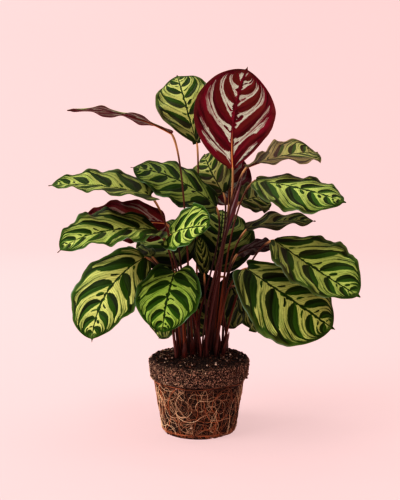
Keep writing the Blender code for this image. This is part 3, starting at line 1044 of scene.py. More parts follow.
@dataclass(frozen=True)
class RootFinish:
    """Roots, from dark to light by the root's own tone and its place.

    drift is how much paler they are for each metre towards the left, painted
    light on the side that the key lamp falls on, and flank how much paler for
    each metre away from the middle, so that the middle stays darker: painted
    light and shade.
    """

    name: str
    dark: Colour
    light: Colour
    painted_left_light: float = 9.0
    painted_flank_light: float = 6.0
    roughness: float = 0.52
    specular: float = 0.5
    relief: float = 0.0002

    def build(self, groups: Groups) -> Material:
        """Make the material.

        Args:
            groups: The shared shader groups.

        Returns:
            The material.
        """
        material, graph, shader = new_material(self.name, self.specular)
        along, around = graph.places()
        tone, seed, _ = graph.trait("root")
        streak, blotch = groups.streaks(graph, along * 9.0, around * 3.0, seed * 31.0)
        place = graph.position()
        patch = graph.noise(place, scale=16.0, detail=1.0) - 0.5
        x, _, _ = graph.split(place)
        # Paler towards the left is painted light where the key lamp falls; paler away from the
        # middle leaves the middle darker, painted light and shade.
        pallor = tone + (blotch - 0.5) * 0.8 + patch * 1.4 - x * self.painted_left_light
        pallor = pallor + abs(x) * self.painted_flank_light - 0.20
        colour = graph.mix(pallor, self.dark, self.light)
        graph.dress(shader, colour, blotch * 0.2 + self.roughness,
                    graph.bump(streak, self.relief, 0.6))
        return material


@dataclass(frozen=True)
class CrumbFinish:
    """Loose crumbs of soil, bark and pale grit by each crumb's own tone."""

    dark: Colour = srgb(30, 18, 14)
    brown: Colour = srgb(92, 56, 38)
    pale: Colour = srgb(206, 184, 164)
    roughness: float = 0.8
    specular: float = 0.5
    relief: float = 0.0006

    def build(self) -> Material:
        """Make the material.

        Returns:
            The material.
        """
        material, graph, shader = new_material("crumb", self.specular)
        tone, _, _ = graph.trait("crumb")
        fine = graph.noise(graph.position(), scale=900.0, detail=3.0)
        colour = graph.mix((tone + (fine - 0.5) * 0.3).ease(0.1, 0.8), self.dark, self.brown)
        colour = graph.mix(tone.ease(0.88, 0.92), colour, self.pale)
        graph.dress(shader, colour, fine * 0.2 + self.roughness,
                    graph.bump(fine, self.relief, 0.8))
        return material


@dataclass(frozen=True)
class StageFinish:
    """Plain pale pink of the floor and the wall, lit evenly from within."""

    colour: Colour = srgb(246, 215, 214)
    paper: float = 0.22
    glow: float = 0.555
    roughness: float = 0.9
    specular: float = 0.1

    def build(self) -> Material:
        """Make the material.

        Returns:
            The material.
        """
        material, _, shader = new_material("studio_pink", self.specular)
        paper = tuple(self.paper * value for value in self.colour)
        shader.inputs["Base Color"].default_value = (*paper, 1.0)
        shader.inputs["Emission Color"].default_value = (*self.colour, 1.0)
        shader.inputs["Emission Strength"].default_value = self.glow
        shader.inputs["Roughness"].default_value = self.roughness
        return material


# -------------------------------------------------------------------- leaves

# Half-widths of a blade's ends in millimetres, and shares of its length.
BASE_HALF = 1.6
TIP_HALF = 0.3
TIP_CUSP = 0.13
CUSP_LENGTH = 0.09
BODY_END = 0.97
BLUNTNESS = 0.58
LOBE_PEAK = 0.08
HOOK_START = 0.7
HOOK_LENGTH = 0.3

# The soil and the stalks' feet in it, in millimetres.
SHOULDER_RADIUS = 63.5
SOIL_HEIGHT = 99.0
SOIL_MOUND = 6.5
FOOT_COLLAR = 2.5
FOOT_DEPTH = 9.0


def soil_top(out: Array | float) -> Array | float:
    """Height of the mounded soil at a distance from its middle."""
    return SOIL_HEIGHT + SOIL_MOUND * (1 - out / SHOULDER_RADIUS)


def stalk_foot(foot: Pair) -> tuple[Array, Array]:
    """Points where a stalk ends in the soil and where it leaves its collar."""
    height = soil_top(math.hypot(*foot)) + FOOT_COLLAR
    return np.array([*foot, SOIL_HEIGHT - FOOT_DEPTH]), np.array([*foot, height])


@dataclass(frozen=True)
class Midrib:
    """Points along a midrib and the directions there, as whole arrays.

    tangents run along it, normals look out of the upper side and laterals
    point to its side. ahead is the way of its chord and length how long the
    chord is.
    """

    points: Array
    tangents: Array
    normals: Array
    laterals: Array
    ahead: Array
    length: float


@dataclass(frozen=True)
class Leaf:
    """One leaf, in millimetres and degrees, with its looks.

    foot is where its stalk stands on the soil, base and tip are the ends of
    its midrib, and face is the way its upper side looks at mid length.
    arch bows the midrib towards the upper side, sway bows it sideways, and
    hook turns the tip down. fold and curl bend each half across the midrib,
    wave and waves ruffle the margin, twist turns the tip against the base,
    lobe carries the base of the blade back past the stalk, and belly is the
    place of the widest line along the midrib. reach is how far below the
    base the stalk begins to bend, and bend leads its lower part aside.
    lime, age, gold and dull are shares of fresh green, brown, golden stalk
    and painted shade, near black over a leaf that sits in shadow inside and low
    in the plant. rise is how much its side veins sweep towards the tip.
    """

    name: str
    foot: Pair
    base: Place
    tip: Place
    face: Place
    width: float
    arch: float = 10.0
    sway: float = 0.0
    hook: float = 0.0
    fold: float = 6.0
    curl: float = -12.0
    wave: float = 3.0
    waves: float = 4.0
    twist: float = 0.0
    lobe: float = 0.05
    belly: float = 0.48
    reach: float = 40.0
    bend: Pair = (0.0, 0.0)
    lime: float = 0.35
    age: float = 0.10
    gold: float = 0.15
    painted_shade: float = 0.0
    rise: float = 1.0

    @property
    def seed(self) -> float:
        """The leaf's own share between 0 and 1, from its number."""
        return (int(self.name) * 0.6180339) % 1.0

    @property
    def tone(self) -> float:
        """The tone of its stalk between 0 and 1."""
        return self.seed * 7.3 % 1.0

    def outline(self, along: Array) -> Array:
        """Half-width as a share of the widest.

        A sine to the power of its bluntness, sin(pi * s^power)^0.58, whose
        crest lies at belly, with a short cusp at the tip.

        Args:
            along: Places along the midrib.

        Returns:
            The shares.
        """
        power = math.log(0.5) / math.log(self.belly)
        body = np.sin(np.pi * np.clip(along / BODY_END, 0, 1) ** power)
        cusp = TIP_CUSP * np.clip((1 - along) / CUSP_LENGTH, 0, 1) ** 1.2
        return np.maximum(np.clip(body, 0, 1) ** BLUNTNESS, cusp)

    def midrib(self, along: Array) -> Midrib:
        """Points and directions along the midrib.

        The midrib is its chord plus arch * 4s(1 - s) towards the upper side,
        sway * 4s(1 - s) sideways and a squared droop over the last third.

        Args:
            along: Places along the midrib.

        Returns:
            The points and the directions there.
        """
        base = np.array(self.base, dtype=float)
        chord = np.array(self.tip, dtype=float) - base
        ahead = unit(chord)
        up = unit(np.array(self.face) - np.dot(self.face, ahead) * ahead)
        side = np.cross(up, ahead)
        place = np.asarray(along, dtype=float)[:, None]
        bow, slope = 4 * place * (1 - place), 4 * (1 - 2 * place)
        droop = np.clip((place - HOOK_START) / HOOK_LENGTH, 0, 1)
        lift = self.arch * bow - self.hook * droop ** 2
        lift_slope = self.arch * slope - self.hook * 2 * droop / HOOK_LENGTH
        rib = base + chord * place + up * lift + side * self.sway * bow
        tangent = unit(chord + up * lift_slope + side * self.sway * slope)
        normal = unit(up - (tangent @ up)[:, None] * tangent)
        lateral = np.cross(normal, tangent)
        turn = np.radians(self.twist) * (place - 0.5)
        turned = normal * np.cos(turn) + lateral * np.sin(turn)
        beside = lateral * np.cos(turn) - normal * np.sin(turn)
        return Midrib(rib, tangent, turned, beside, ahead, float(np.linalg.norm(chord)))


LEAVES = (
    Leaf("01", (-8, -10), (-35, -10, 395), (-169, -20, 424), (0.15, 0.06, 1.0), 76,
         arch=11, fold=2, curl=-8, waves=3.0, belly=0.56, reach=30, bend=(-2, -26),
         age=0.6, gold=0.9),
    Leaf("02", (-2, 26), (-3, 70, 385), (-32, 122, 486), (-0.15, -0.80, 0.55), 84,
         arch=14, fold=4, curl=-14, belly=0.60, lobe=0.0, reach=30, bend=(-4, 14),
         lime=0.1, age=0.5, gold=0.6, painted_shade=0.2),
    Leaf("03", (10, -10), (43, -30, 350), (60, -55, 474), (-0.05, 0.95, 0.30), 104,
         arch=6, sway=-7, fold=3, curl=-10, wave=2, belly=0.56, lobe=0.0, reach=60,
         gold=0.8, rise=1.35),
    Leaf("04", (16, 4), (63, 18, 352), (165, 62, 373), (0.0, -0.34, 0.94), 88,
         arch=5, fold=9, curl=-6, wave=4, waves=3.5, twist=-20, belly=0.70, lime=0.1,
         age=2.2, painted_shade=0.14),
    Leaf("05", (22, -4), (74, 5, 335), (186, -45, 307), (0.05, -0.48, 0.87), 98,
         arch=4, fold=-4, curl=-10, lobe=0.06, belly=0.54, lime=0.5, age=0.32, painted_shade=0.06),
    Leaf("06", (8, 22), (34, 62, 316), (8, 112, 372), (-0.50, -0.75, 0.45), 62,
         lime=0.2, age=0.8, painted_shade=0.25),
    Leaf("07", (14, 30), (42, 82, 299), (44, 120, 379), (0.10, 0.90, 0.50), 65, arch=6,
         age=0.6, painted_shade=0.5),
    Leaf("08", (-16, 6), (-62, -12, 314), (-193, -30, 328), (0.0, -0.30, 0.95), 98,
         arch=7, fold=13, curl=-8, lobe=0.12, belly=0.38, bend=(-2, 8), lime=0.4,
         age=0.25, gold=0.6, painted_shade=0.04, rise=0.7),
    Leaf("09", (-6, 4), (24, 30, 298), (-92, 24, 352), (0.05, -0.50, 0.86), 95,
         arch=13, fold=2, curl=-14, lime=0.6, painted_shade=0.42, rise=0.8),
    Leaf("10", (-22, 12), (-44, 20, 277), (-170, 45, 268), (0.0, 0.72, 0.70), 86,
         arch=7, belly=0.41, age=0.8, painted_shade=0.2),
    Leaf("11", (-24, -14), (-54, -14, 270), (-174, -80, 254), (-0.10, -0.38, 0.92), 114,
         hook=8, fold=12, curl=-10, wave=4, belly=0.43, bend=(0, -8), lime=0.4,
         painted_shade=0.05),
    Leaf("12", (2, -23), (-36, -42, 266), (14, -106, 281), (-0.69, -0.44, 0.58), 69,
         arch=5, fold=11, curl=-8, wave=2, lobe=0.14, belly=0.50, reach=28, bend=(6, 4),
         lime=0.5, age=0.0),
    Leaf("13", (-30, -20), (-71, -10, 234), (-135, -65, 132), (-0.35, -0.75, 0.55), 104,
         sway=-14, lime=0.15, age=0.08),
    Leaf("14", (-19, -24), (-31, -40, 218), (-45, -95, 148), (-0.10, -0.65, 0.75), 84,
         lobe=0.17, bend=(0, -4), lime=0.8, age=0.0),
    Leaf("15", (22, -14), (62, -15, 220), (171, -65, 148), (0.10, -0.78, 0.60), 122,
         sway=-6, fold=-3, curl=-16, lobe=0.12, belly=0.58, lime=0.3, age=0.24),
    Leaf("16", (31, -6), (98, -12, 257), (200, -76, 191), (0.25, -0.60, 0.75), 116,
         arch=0, sway=-3, fold=18, twist=-14, lobe=0.0, belly=0.50, lime=0.5, age=0.34,
         painted_shade=0.03),
    Leaf("17", (24, 4), (64, 30, 268), (161, 45, 278), (0.0, -0.35, 0.92), 48,
         arch=6, fold=16, curl=-20, wave=4, waves=2.5, lime=0.2, age=1.0,
         painted_shade=0.58),
    Leaf("18", (20, 16), (56, 58, 304), (100, 94, 308), (0.10, -0.80, 0.60), 54, arch=6,
         lime=0.2, age=0.8, painted_shade=0.45),
    Leaf("19", (31, 8), (50, 10, 236), (104, 35, 242), (0.10, 0.55, 0.80), 54,
         arch=6, wave=1.5, age=0.5, painted_shade=0.95),
    Leaf("20", (-4, 40), (-12, 87, 200), (-2, 120, 97), (0.0, -0.80, 0.50), 96, arch=8,
         painted_shade=0.7),
    Leaf("21", (-28, 4), (-64, 35, 230), (-138, 65, 218), (0.0, -0.30, 0.95), 72, arch=6,
         painted_shade=0.4),
    Leaf("22", (-28, 16), (-40, 45, 195), (-58, 78, 106), (-0.20, -0.60, 0.70), 74, arch=6,
         painted_shade=0.3),
    Leaf("23", (38, 18), (56, 35, 190), (86, 60, 123), (0.30, -0.60, 0.70), 74, arch=8,
         painted_shade=0.4),
    Leaf("24", (10, -24), (7, -18, 212), (0, -22, 264), (0.20, -0.95, 0.10), 20,
         arch=3, wave=1, lime=0.3, age=0.2, painted_shade=0.55),
    Leaf("25", (-22, 30), (-52, 90, 198), (-112, 172, 170), (-0.20, 0.30, 0.92), 98,
         painted_shade=0.2),
    Leaf("26", (8, 34), (24, 84, 204), (36, 148, 290), (0.10, -0.75, 0.60), 104,
         arch=12, age=0.2, painted_shade=0.58),
    Leaf("27", (-14, 20), (-26, 64, 214), (-66, 120, 268), (-0.15, -0.75, 0.60), 96,
         arch=10, age=0.2, painted_shade=0.64),
    Leaf("28", (28, 26), (38, 78, 196), (66, 118, 121), (0.15, -0.75, 0.55), 92, arch=8,
         painted_shade=0.74),
)


@dataclass(frozen=True)
class BladeMaker:
    """Makes a leaf's blade: a thin sheet with a grooved, ridged midrib.

    ripples is how many ripples of the margin go to a wave, and the shifts
    set those of one half against those of the other.
    """

    pattern: LeafPattern
    rows: int = 96
    half_columns: int = 22
    skin: float = 0.34
    ridge: float = 1.5
    ridge_width: float = 0.9
    groove: float = 0.35
    groove_width: float = 0.7
    pleat: float = 0.45
    ripple: float = 0.22
    ripples: float = 2.6
    wave_shift: float = 0.21
    ripple_shift: float = 0.37

    def grid(self) -> tuple[Array, Array]:
        """Places of the rows and columns, closer at the ends and the midrib.

        Returns:
            Places along, from 0 to 1, and across, from -1 to 1.
        """
        even = np.linspace(0, 1, self.rows + 1)
        along = 0.5 * even + 0.25 * (1 - np.cos(np.pi * even))
        half = np.linspace(0, 1, self.half_columns + 1) ** 1.35
        return along, np.concatenate([-half[:0:-1], half])

    def surfaces(self, leaf: Leaf) -> tuple[Array, Array, Array]:
        """Upper and lower points of the blade.

        Each half leaves the midrib at the fold angle and bends by the curl
        angle to its margin. Out from the midrib, a sine wave ruffles it, a
        quicker one ripples its margin and a cosine of the pattern's lanes
        pleats it. The lower side lies a skin below, and a bell-shaped ridge
        deeper at the midrib.

        Args:
            leaf: The leaf.

        Returns:
            Upper points, lower points, and distances out from the midrib.
        """
        along, across = self.grid()
        rib = leaf.midrib(along)
        normal, lateral = rib.normals[:, None], rib.laterals[:, None]
        end = BASE_HALF + (TIP_HALF - BASE_HALF) * along
        half = np.sqrt((leaf.width / 2 * leaf.outline(along)) ** 2 + end ** 2)[:, None]
        out, sign = np.abs(across)[None, :], np.sign(across)[None, :]
        s = along[:, None]
        fold, curl = math.radians(leaf.fold), math.radians(leaf.curl)
        slope = fold + curl * out
        sideways = half * sign * (np.sin(slope) - np.sin(fold)) / curl
        rise = half * (np.cos(fold) - np.cos(slope)) / curl
        calm = np.sqrt(np.clip(np.sin(np.pi * s), 0, 1))
        phase = 2 * np.pi * (leaf.waves * s + self.wave_shift * sign)
        rise = rise + leaf.wave * calm * out ** 2.2 * np.sin(phase)
        quick = self.ripples * leaf.waves * s + self.ripple_shift * sign + leaf.seed
        ripple = self.ripple * leaf.wave * (leaf.width / 100) ** 2
        rise = rise + ripple * calm * out ** 3 * np.sin(2 * np.pi * quick)
        lane = self.pattern.lane_at(s, out, (sign > 0).astype(float), leaf)
        rise = rise + self.pleat * calm * np.sin(np.pi * out ** 0.8) * np.cos(2 * np.pi * lane)
        away = half * out
        rise = rise - self.groove * np.exp(-(away / self.groove_width) ** 2) * (1 - s)
        early = s / LOBE_PEAK
        setback = leaf.lobe * rib.length * out ** 1.5 * early * np.exp(1 - early)
        upper = (rib.points[:, None] + lateral * sideways[..., None]
                 + normal * rise[..., None] - rib.ahead * setback[..., None])
        square = normal * np.cos(slope)[..., None] - lateral * (sign * np.sin(slope))[..., None]
        depth = self.ridge * np.exp(-(away / self.ridge_width) ** 2) * (1 - 0.75 * s)
        return upper, upper - square * (self.skin + depth)[..., None], away

    def build(self, leaf: Leaf, materials: list[Material]) -> Object:
        """Make the blade of one leaf.

        Args:
            leaf: The leaf.
            materials: Materials of the upper side and the underside.

        Returns:
            The blade.
        """
        upper, lower, away = self.surfaces(leaf)
        rows, columns = upper.shape[:2]
        faces, kinds = sheet_faces(rows, columns)
        along, across = self.grid()
        uv = np.stack(np.broadcast_arrays(along[:, None], across[None, :] / 2 + 0.5), axis=-1)
        uv = np.tile(uv.reshape(-1, 2), (2, 1))
        count = len(uv)
        looks = np.tile([leaf.seed, leaf.lime, leaf.age], (count, 1))
        # The rib trait holds the distance from the midrib, the share of painted shade and how far
        # the veins sweep.
        ribs = np.zeros((count, 3))
        ribs[:, 0] = np.tile(away.ravel(), 2)
        ribs[:, 1:] = leaf.painted_shade, leaf.rise
        surface = Surface(
            name=f"blade_{leaf.name}",
            points=np.concatenate([upper.reshape(-1, 3), lower.reshape(-1, 3)]),
            faces=[faces], uv=uv, kinds=(kinds == 1).astype(int),
            traits={"leaf": looks, "rib": ribs}, sharp=60.0)
        return surface.build(materials)


@dataclass(frozen=True)
class StalkMaker:
    """Makes a leaf's stalk: a swollen sheath below and a knee under the blade.

    sheath and knee add to its half-width, and under, seat and sink place
    its end by the midrib's. steer leans its first part towards the blade,
    lead is that part's share of the height, and arrival mixes the midrib's
    way with upright in its last part.
    """

    steps: int = 46
    sides: int = 12
    thin: float = 1.15
    tip: float = 0.7
    sheath: float = 0.5
    sheath_end: float = 0.55
    press: float = 0.14
    knee: float = 0.45
    knee_place: float = 0.93
    knee_length: float = 0.09
    under: float = 0.9
    seat: float = 2.5
    sink: float = 0.2
    steer: float = 0.8
    lead: float = 0.36
    arrival: Pair = (0.65, 0.45)

    def path(self, leaf: Leaf) -> Array:
        """Points of the stalk: upright out of the soil, then one cubic curve.

        Args:
            leaf: The leaf.

        Returns:
            The points, from inside the soil to under the blade.
        """
        rib = leaf.midrib(np.array([0.0]))
        tangent, normal = rib.tangents[0], rib.normals[0]
        foot, start = stalk_foot(leaf.foot)
        end = rib.points[0] - normal * self.under
        heading = unit(self.arrival[0] * tangent + self.arrival[1] * UP)
        steer = unit(UP + self.steer * unit(end - start))
        lead = start + steer * (end[2] - start[2]) * self.lead + np.array([*leaf.bend, 0.0])
        curve = bezier(np.array([start, lead, end - heading * leaf.reach, end]),
                       np.linspace(0, 1, self.steps))
        seat = end + tangent * self.seat - normal * self.sink
        return np.concatenate([foot[None], curve, seat[None]])

    def radii(self) -> Array:
        """Half-widths along the stalk, with a blunt end under the blade.

        Returns:
            One half-width for each point of the path.
        """
        q = np.linspace(0, 1, self.steps)
        sheath = self.sheath * np.clip(1 - q / self.sheath_end, 0, 1) ** 1.3
        knee = self.knee * np.exp(-((q - self.knee_place) / self.knee_length) ** 2)
        radii = self.thin + sheath + knee
        return np.concatenate([radii[:1], radii, [self.tip]])

    def build(self, leaf: Leaf, material: Material) -> Object:
        """Make the stalk of one leaf.

        Its section is a circle pressed to an oval along the sheath.

        Args:
            leaf: The leaf.
            material: Its material.

        Returns:
            The stalk.
        """
        path = self.path(leaf)
        lateral = leaf.midrib(np.array([0.0])).laterals[0]
        turn = np.arange(self.sides) * 2 * np.pi / self.sides
        radii = self.radii()
        press = self.press * np.clip((radii - self.thin) / self.sheath, 0, 1)[:, None]
        radii = radii[:, None] * (1 + press * np.cos(2 * (turn + 6 * leaf.seed)))
        reference = np.broadcast_to(lateral, path.shape)
        points, faces = tubes(path[None], radii[None], reference[None], self.sides)
        share = np.concatenate([[0.0], np.linspace(0.02, 1, self.steps), [1.0]])
        looks = np.tile([leaf.seed, leaf.gold, leaf.tone], (len(points), 1))
        surface = Surface(name=f"stalk_{leaf.name}", points=points, faces=faces,
                          uv=tube_places(share, self.sides), traits={"stalk": looks})
        return surface.build([material])


@dataclass(frozen=True)
class Sheath:
    """A thin sheath that wraps part of a stalk, open along one side.

    leaf counts from 0. low and high are its ends as shares of the stalk, gap
    is how far it stands off and turn the angle that it is centred on.
    """

    leaf: int
    low: float
    high: float
    gap: float
    turn: float


@dataclass(frozen=True)
class SheathMaker:
    """Makes the sheaths round the lower stalks as one piece.

    Each kind bounds a height and a gap, and dry is the one high on a stalk.
    """

    rows: int = 17
    columns: int = 10
    wrap: float = 165.0
    skin: float = 0.25
    flare: float = 0.5
    seed: int = 21
    close_kind: tuple[Pair, Pair] = ((0.10, 0.42), (0.10, 0.30))
    loose_kind: tuple[Pair, Pair] = ((0.07, 0.20), (1.2, 3.2))
    dry: Sheath = Sheath(3, 0.64, 0.78, 0.35, 4.2)

    def sheaths(self) -> list[Sheath]:
        """One sheath for each stalk, a short wide one round it, and one higher up.

        Returns:
            The sheaths.
        """
        draw = np.random.default_rng(self.seed)
        made = []
        for number in range(len(LEAVES)):
            for heights, gaps in (self.close_kind, self.loose_kind):
                high = draw.uniform(*heights)
                gap = draw.uniform(*gaps)
                made.append(Sheath(number, 0.0, high, gap, draw.uniform(0, ALL_ROUND)))
        return [*made, self.dry]

    def shell(self, sheath: Sheath, stalks: StalkMaker) -> tuple[Array, Array]:
        """Outer and inner points of one sheath.

        The sheath follows its stalk at the stalk's radius plus a gap, over an
        arc that narrows towards its tip as the square root of what is left.

        Args:
            sheath: The sheath.
            stalks: The maker of the stalks.

        Returns:
            The two grids of points.
        """
        leaf = LEAVES[sheath.leaf]
        path = stalks.path(leaf)
        radii = stalks.radii()
        share = np.linspace(0, 1, len(path))
        rise = np.linspace(0, 1, self.rows)
        where = sheath.low + (sheath.high - sheath.low) * rise
        centre = np.stack([np.interp(where, share, path[:, axis]) for axis in range(3)], axis=1)
        radius = np.interp(where, share, radii)
        tangent = unit(np.gradient(centre, axis=0))
        lateral = leaf.midrib(np.array([0.0])).laterals[0]
        first = unit(lateral - tangent * (tangent @ lateral)[:, None])
        third = np.cross(tangent, first)
        close = np.sqrt(np.clip(1.02 - rise, 0, 1))
        spread = np.linspace(-0.5, 0.5, self.columns)[None, :] * math.radians(self.wrap)
        angle = sheath.turn + spread * close[:, None]
        around = (np.cos(angle)[..., None] * first[:, None]
                  + np.sin(angle)[..., None] * third[:, None])
        gap = sheath.gap * (0.35 + 0.65 * np.sin(np.pi * np.clip(rise, 0, 1)) ** 0.7)
        flare = np.linspace(-1, 1, self.columns)[None, :] ** 2 * rise[:, None] * self.flare
        outer = radius[:, None] + gap[:, None] + self.skin + flare
        lift = centre[:, None]
        return lift + outer[..., None] * around, lift + (outer - self.skin)[..., None] * around

    def build(self, stalks: StalkMaker, material: Material) -> Object:
        """Make all the sheaths.

        Args:
            stalks: The maker of the stalks.
            material: Their material.

        Returns:
            The piece.
        """
        faces, _ = sheet_faces(self.rows, self.columns)
        rise, spread = np.meshgrid(np.linspace(0, 1, self.rows),
                                   np.linspace(0, 1, self.columns), indexing="ij")
        points, quads, uvs, looks = [], [], [], []
        for number, sheath in enumerate(self.sheaths()):
            outer, inner = self.shell(sheath, stalks)
            quads.append(faces[:, ::-1] + 2 * self.rows * self.columns * number)
            points += [outer.reshape(-1, 3), inner.reshape(-1, 3)]
            uv = np.stack([rise, spread], axis=-1).reshape(-1, 2)
            uvs += [uv, uv]
            palest = 1.0 if sheath.gap < 1 else 0.7
            tone = 1.0 if sheath.low > 0 else number * 0.618 % palest
            looks.append(np.tile([tone, number * 0.13, 0.0], (2 * len(uv), 1)))
        surface = Surface(name="crown_sheaths", points=np.concatenate(points),
                          faces=[np.concatenate(quads)], uv=np.concatenate(uvs),
                          traits={"sheath": np.concatenate(looks)}, sharp=60.0)
        return surface.build([material])


@dataclass(frozen=True)
class YoungLeafRoll:
    """The young leaf, rolled up round its own stalk.

    seam is how much its radius grows round it, over twist turns in all.
    """

    foot: Pair = (4.0, -6.0)
    lead: Place = (8.0, -8.0, 190.0)
    neck: Place = (36.0, -16.0, 262.0)
    tip: Place = (58.0, -10.0, 344.0)
    steps: int = 60
    sides: int = 24
    stalk: float = 1.2
    belly: float = 2.9
    belly_place: float = 0.78
    belly_spread: float = 0.11
    end: float = 0.5
    seam: float = 0.22
    twist: float = 0.9

    def build(self, material: Material) -> Object:
        """Make the rolled leaf.

        A bell-shaped swelling on a thin stalk. Its section is a spiral turn:
        the radius grows by a fifth round it and steps back at the seam.

        Args:
            material: Its material.

        Returns:
            The piece.
        """
        foot, start = stalk_foot(self.foot)
        q = np.linspace(0, 1, self.steps)
        curve = bezier(np.array([start, self.lead, self.neck, self.tip]), q)
        path = np.concatenate([foot[None], curve])
        roll = self.belly * np.exp(-((q - self.belly_place) / self.belly_spread) ** 2)
        thin = self.end + (self.stalk - self.end) * np.clip(4 * (1 - q), 0, 1)
        radii = np.concatenate([thin[:1] + roll[:1], thin + roll])
        turn = np.arange(self.sides) / self.sides
        rolled = np.concatenate([[0.0], roll / self.belly])[:, None]
        climb = self.twist * np.linspace(0, 1, len(path))[:, None]
        radii = radii[:, None] * (1 + self.seam * rolled * ((turn + climb) % 1.0 - 0.5))
        reference = np.broadcast_to([1.0, 0.0, 0.0], path.shape)
        points, faces = tubes(path[None], radii[None], reference[None], self.sides)
        uv = tube_places(np.concatenate([[0.0], q]), self.sides)
        surface = Surface(name="rolled_leaf", points=points, faces=faces, uv=uv)
        return surface.build([material])


# ----------------------------------------------------------------- root ball


@dataclass(frozen=True)
class RootBall:
    """The root ball, with the shape of the pot it grew in.

    outline holds half-widths and heights from the base to the shoulder.
    octaves holds a cell, what the top adds to its clods and their height.
    notches holds the angle, spread and share of each dent that lift raises
    in the base edge. flank is what each millimetre aside adds to the film,
    painted light towards the sides that leaves the middle darker.
    """

    outline: tuple[Pair, ...] = (
        (47.5, 0.0), (49.0, 3.0), (59.6, 70.0), (65.0, 73.0), (67.6, 94.5),
        (SHOULDER_RADIUS, 98.5))
    octaves: tuple[tuple[float, float, float], ...] = (
        (9.0, 1.7, 0.5), (4.0, 1.1, 0.6), (2.0, 0.0, 0.42), (1.0, 0.0, 0.22))
    notches: tuple[tuple[float, float, float], ...] = ((5.42, 0.13, 1.0), (5.06, 0.05, 0.7))
    lift: float = 3.2
    film: float = 0.02
    painted_flank_light: float = 0.0055
    turns: int = 400
    side_rows: int = 120
    top_rows: int = 64
    base_rows: int = 12

    def reach(self, heights: Array) -> Array:
        """Half-width of the ball's side, by straight lines between the outline's points."""
        line = np.array(self.outline)
        return np.interp(heights, line[:, 1], line[:, 0])

    def profile(self) -> tuple[Array, Array]:
        """Half-widths and heights from the middle of the base to the top's.

        Returns:
            The two arrays.
        """
        line = np.array(self.outline)
        steps = np.concatenate([[0], np.cumsum(np.hypot(*np.diff(line, axis=0).T))])
        walk = np.linspace(0, steps[-1], self.side_rows)
        side = np.stack([np.interp(walk, steps, line[:, axis]) for axis in (0, 1)], axis=1)
        smooth = np.exp(-np.linspace(-2, 2, 9) ** 2)
        smooth /= smooth.sum()
        padded = np.pad(side, ((4, 4), (0, 0)), mode="edge")
        soft = np.stack([np.convolve(padded[:, axis], smooth, mode="valid")
                         for axis in (0, 1)], axis=1)
        soft[0] = side[0]
        under = np.linspace(0.02, 1, self.base_rows, endpoint=False)
        under = np.stack([line[0, 0] * under, np.zeros_like(under)], axis=1)
        share = np.linspace(1, 0.004, self.top_rows + 1)[1:]
        top = line[-1, 0] * share
        top = np.stack([top, soil_top(top)], axis=1)
        whole = np.concatenate([under, soft, top])
        return whole[:, 0], whole[:, 1]

    def surface(self) -> tuple[Array, Array]:
        """Points of the ball's surface, and what covers it.

        The turned outline is pushed in and out by four octaves of lattice
        noise, more on the top than on the side and not at all underneath.
        A notch lifts the base edge at the front right.

        Returns:
            Grid of points, row by row, and at each the shares of root film
            and of dry grit, and a nought.
        """
        radius, height = self.profile()
        angle = np.arange(self.turns + 1) * 2 * np.pi / self.turns
        r, z = radius[:, None], height[:, None]
        points = revolve(r, angle, z)
        top = ease(z, 95.0, 99.5)
        clods = sum((on_top * top + on_side) * lattice_noise(points, cell, number)
                    for number, (cell, on_top, on_side) in enumerate(self.octaves, start=1))
        clods = clods * ease(z, 0.0, 3.0) * ease(r, 0.0, 6.0)
        points = points + revolve(1 - top, angle, top) * clods[..., None]
        notch = sum(share * np.exp(-((angle - place) / spread) ** 2)
                    for place, spread, share in self.notches)
        rim = (1 - ease(z, 0.0, 7.0)) * ease(r, 40.0, 49.0)
        points[..., 2] += self.lift * notch * rim
        mat = 0.7 * (1 - ease(z, 5.0, 12.0)) + 0.5 * np.exp(-((z - 69.0) / 2.5) ** 2)
        # Film grows towards the sides as painted light, so the middle of the ball stays darker; at
        # the foot and the ledge it is a mat of roots.
        film = (1 - top) * (self.film + self.painted_flank_light * np.abs(points[..., 0]) + mat)
        dry = 0.12 + 0.75 * ease(z, 69.0, 75.0) * (1 - ease(z, 93.0, 100.0))
        return points, np.stack(np.broadcast_arrays(film, dry, 0.0), axis=-1)

    def build(self, material: Material) -> Object:
        """Make the ball.

        Args:
            material: Its material.

        Returns:
            The ball, closed at both poles.
        """
        points, cover = self.surface()
        rows = points.shape[0]
        turns = self.turns
        points, cover = points[:, :-1], cover[:, :-1]
        number = np.arange(rows * turns).reshape(rows, turns)
        beside = np.roll(number, -1, axis=1)
        quads = np.stack([number[:-1], beside[:-1], beside[1:], number[1:]], axis=-1)
        poles = rows * turns + np.arange(2)
        first = np.stack([np.full(turns, poles[0]), beside[0], number[0]], axis=-1)
        last = np.stack([np.full(turns, poles[1]), number[-1], beside[-1]], axis=-1)
        ends = np.array([[0, 0, 0], [0, 0, points[-1, :, 2].mean()]])
        traits = np.zeros((rows * turns + 2, 3))
        traits[:-2] = cover.reshape(-1, 3)
        surface = Surface(
            name="potting_ball", points=np.concatenate([points.reshape(-1, 3), ends]),
            faces=[quads.reshape(-1, 4), np.concatenate([first, last])],
            traits={"ball": traits}, sharp=80.0)
        return surface.build([material])


ORANGE_ROOT = RootFinish("orange_root", srgb(58, 29, 18), srgb(176, 106, 64))
STRAW_ROOT = RootFinish("straw_root", srgb(132, 78, 50), srgb(255, 226, 184))
BROWN_ROOT = RootFinish("brown_root", srgb(58, 32, 20), srgb(196, 136, 92))


@dataclass(frozen=True)
class RootSet:
    """A set of roots of one kind that wander over the ball.

    Each of the count roots goes a number of steps of one length. thin and
    thick bound their half-widths and low and high their heights, stand is
    how far off the ball they stand at most, and curl how quickly they turn,
    per millimetre. on_top lays them on the soil instead of the side.
    """

    name: str
    finish: RootFinish
    count: int
    steps: int
    step: float
    thin: float
    thick: float
    low: float
    high: float
    curl: float
    stand: float
    seed: int
    on_top: bool = False
    sides: int = 4


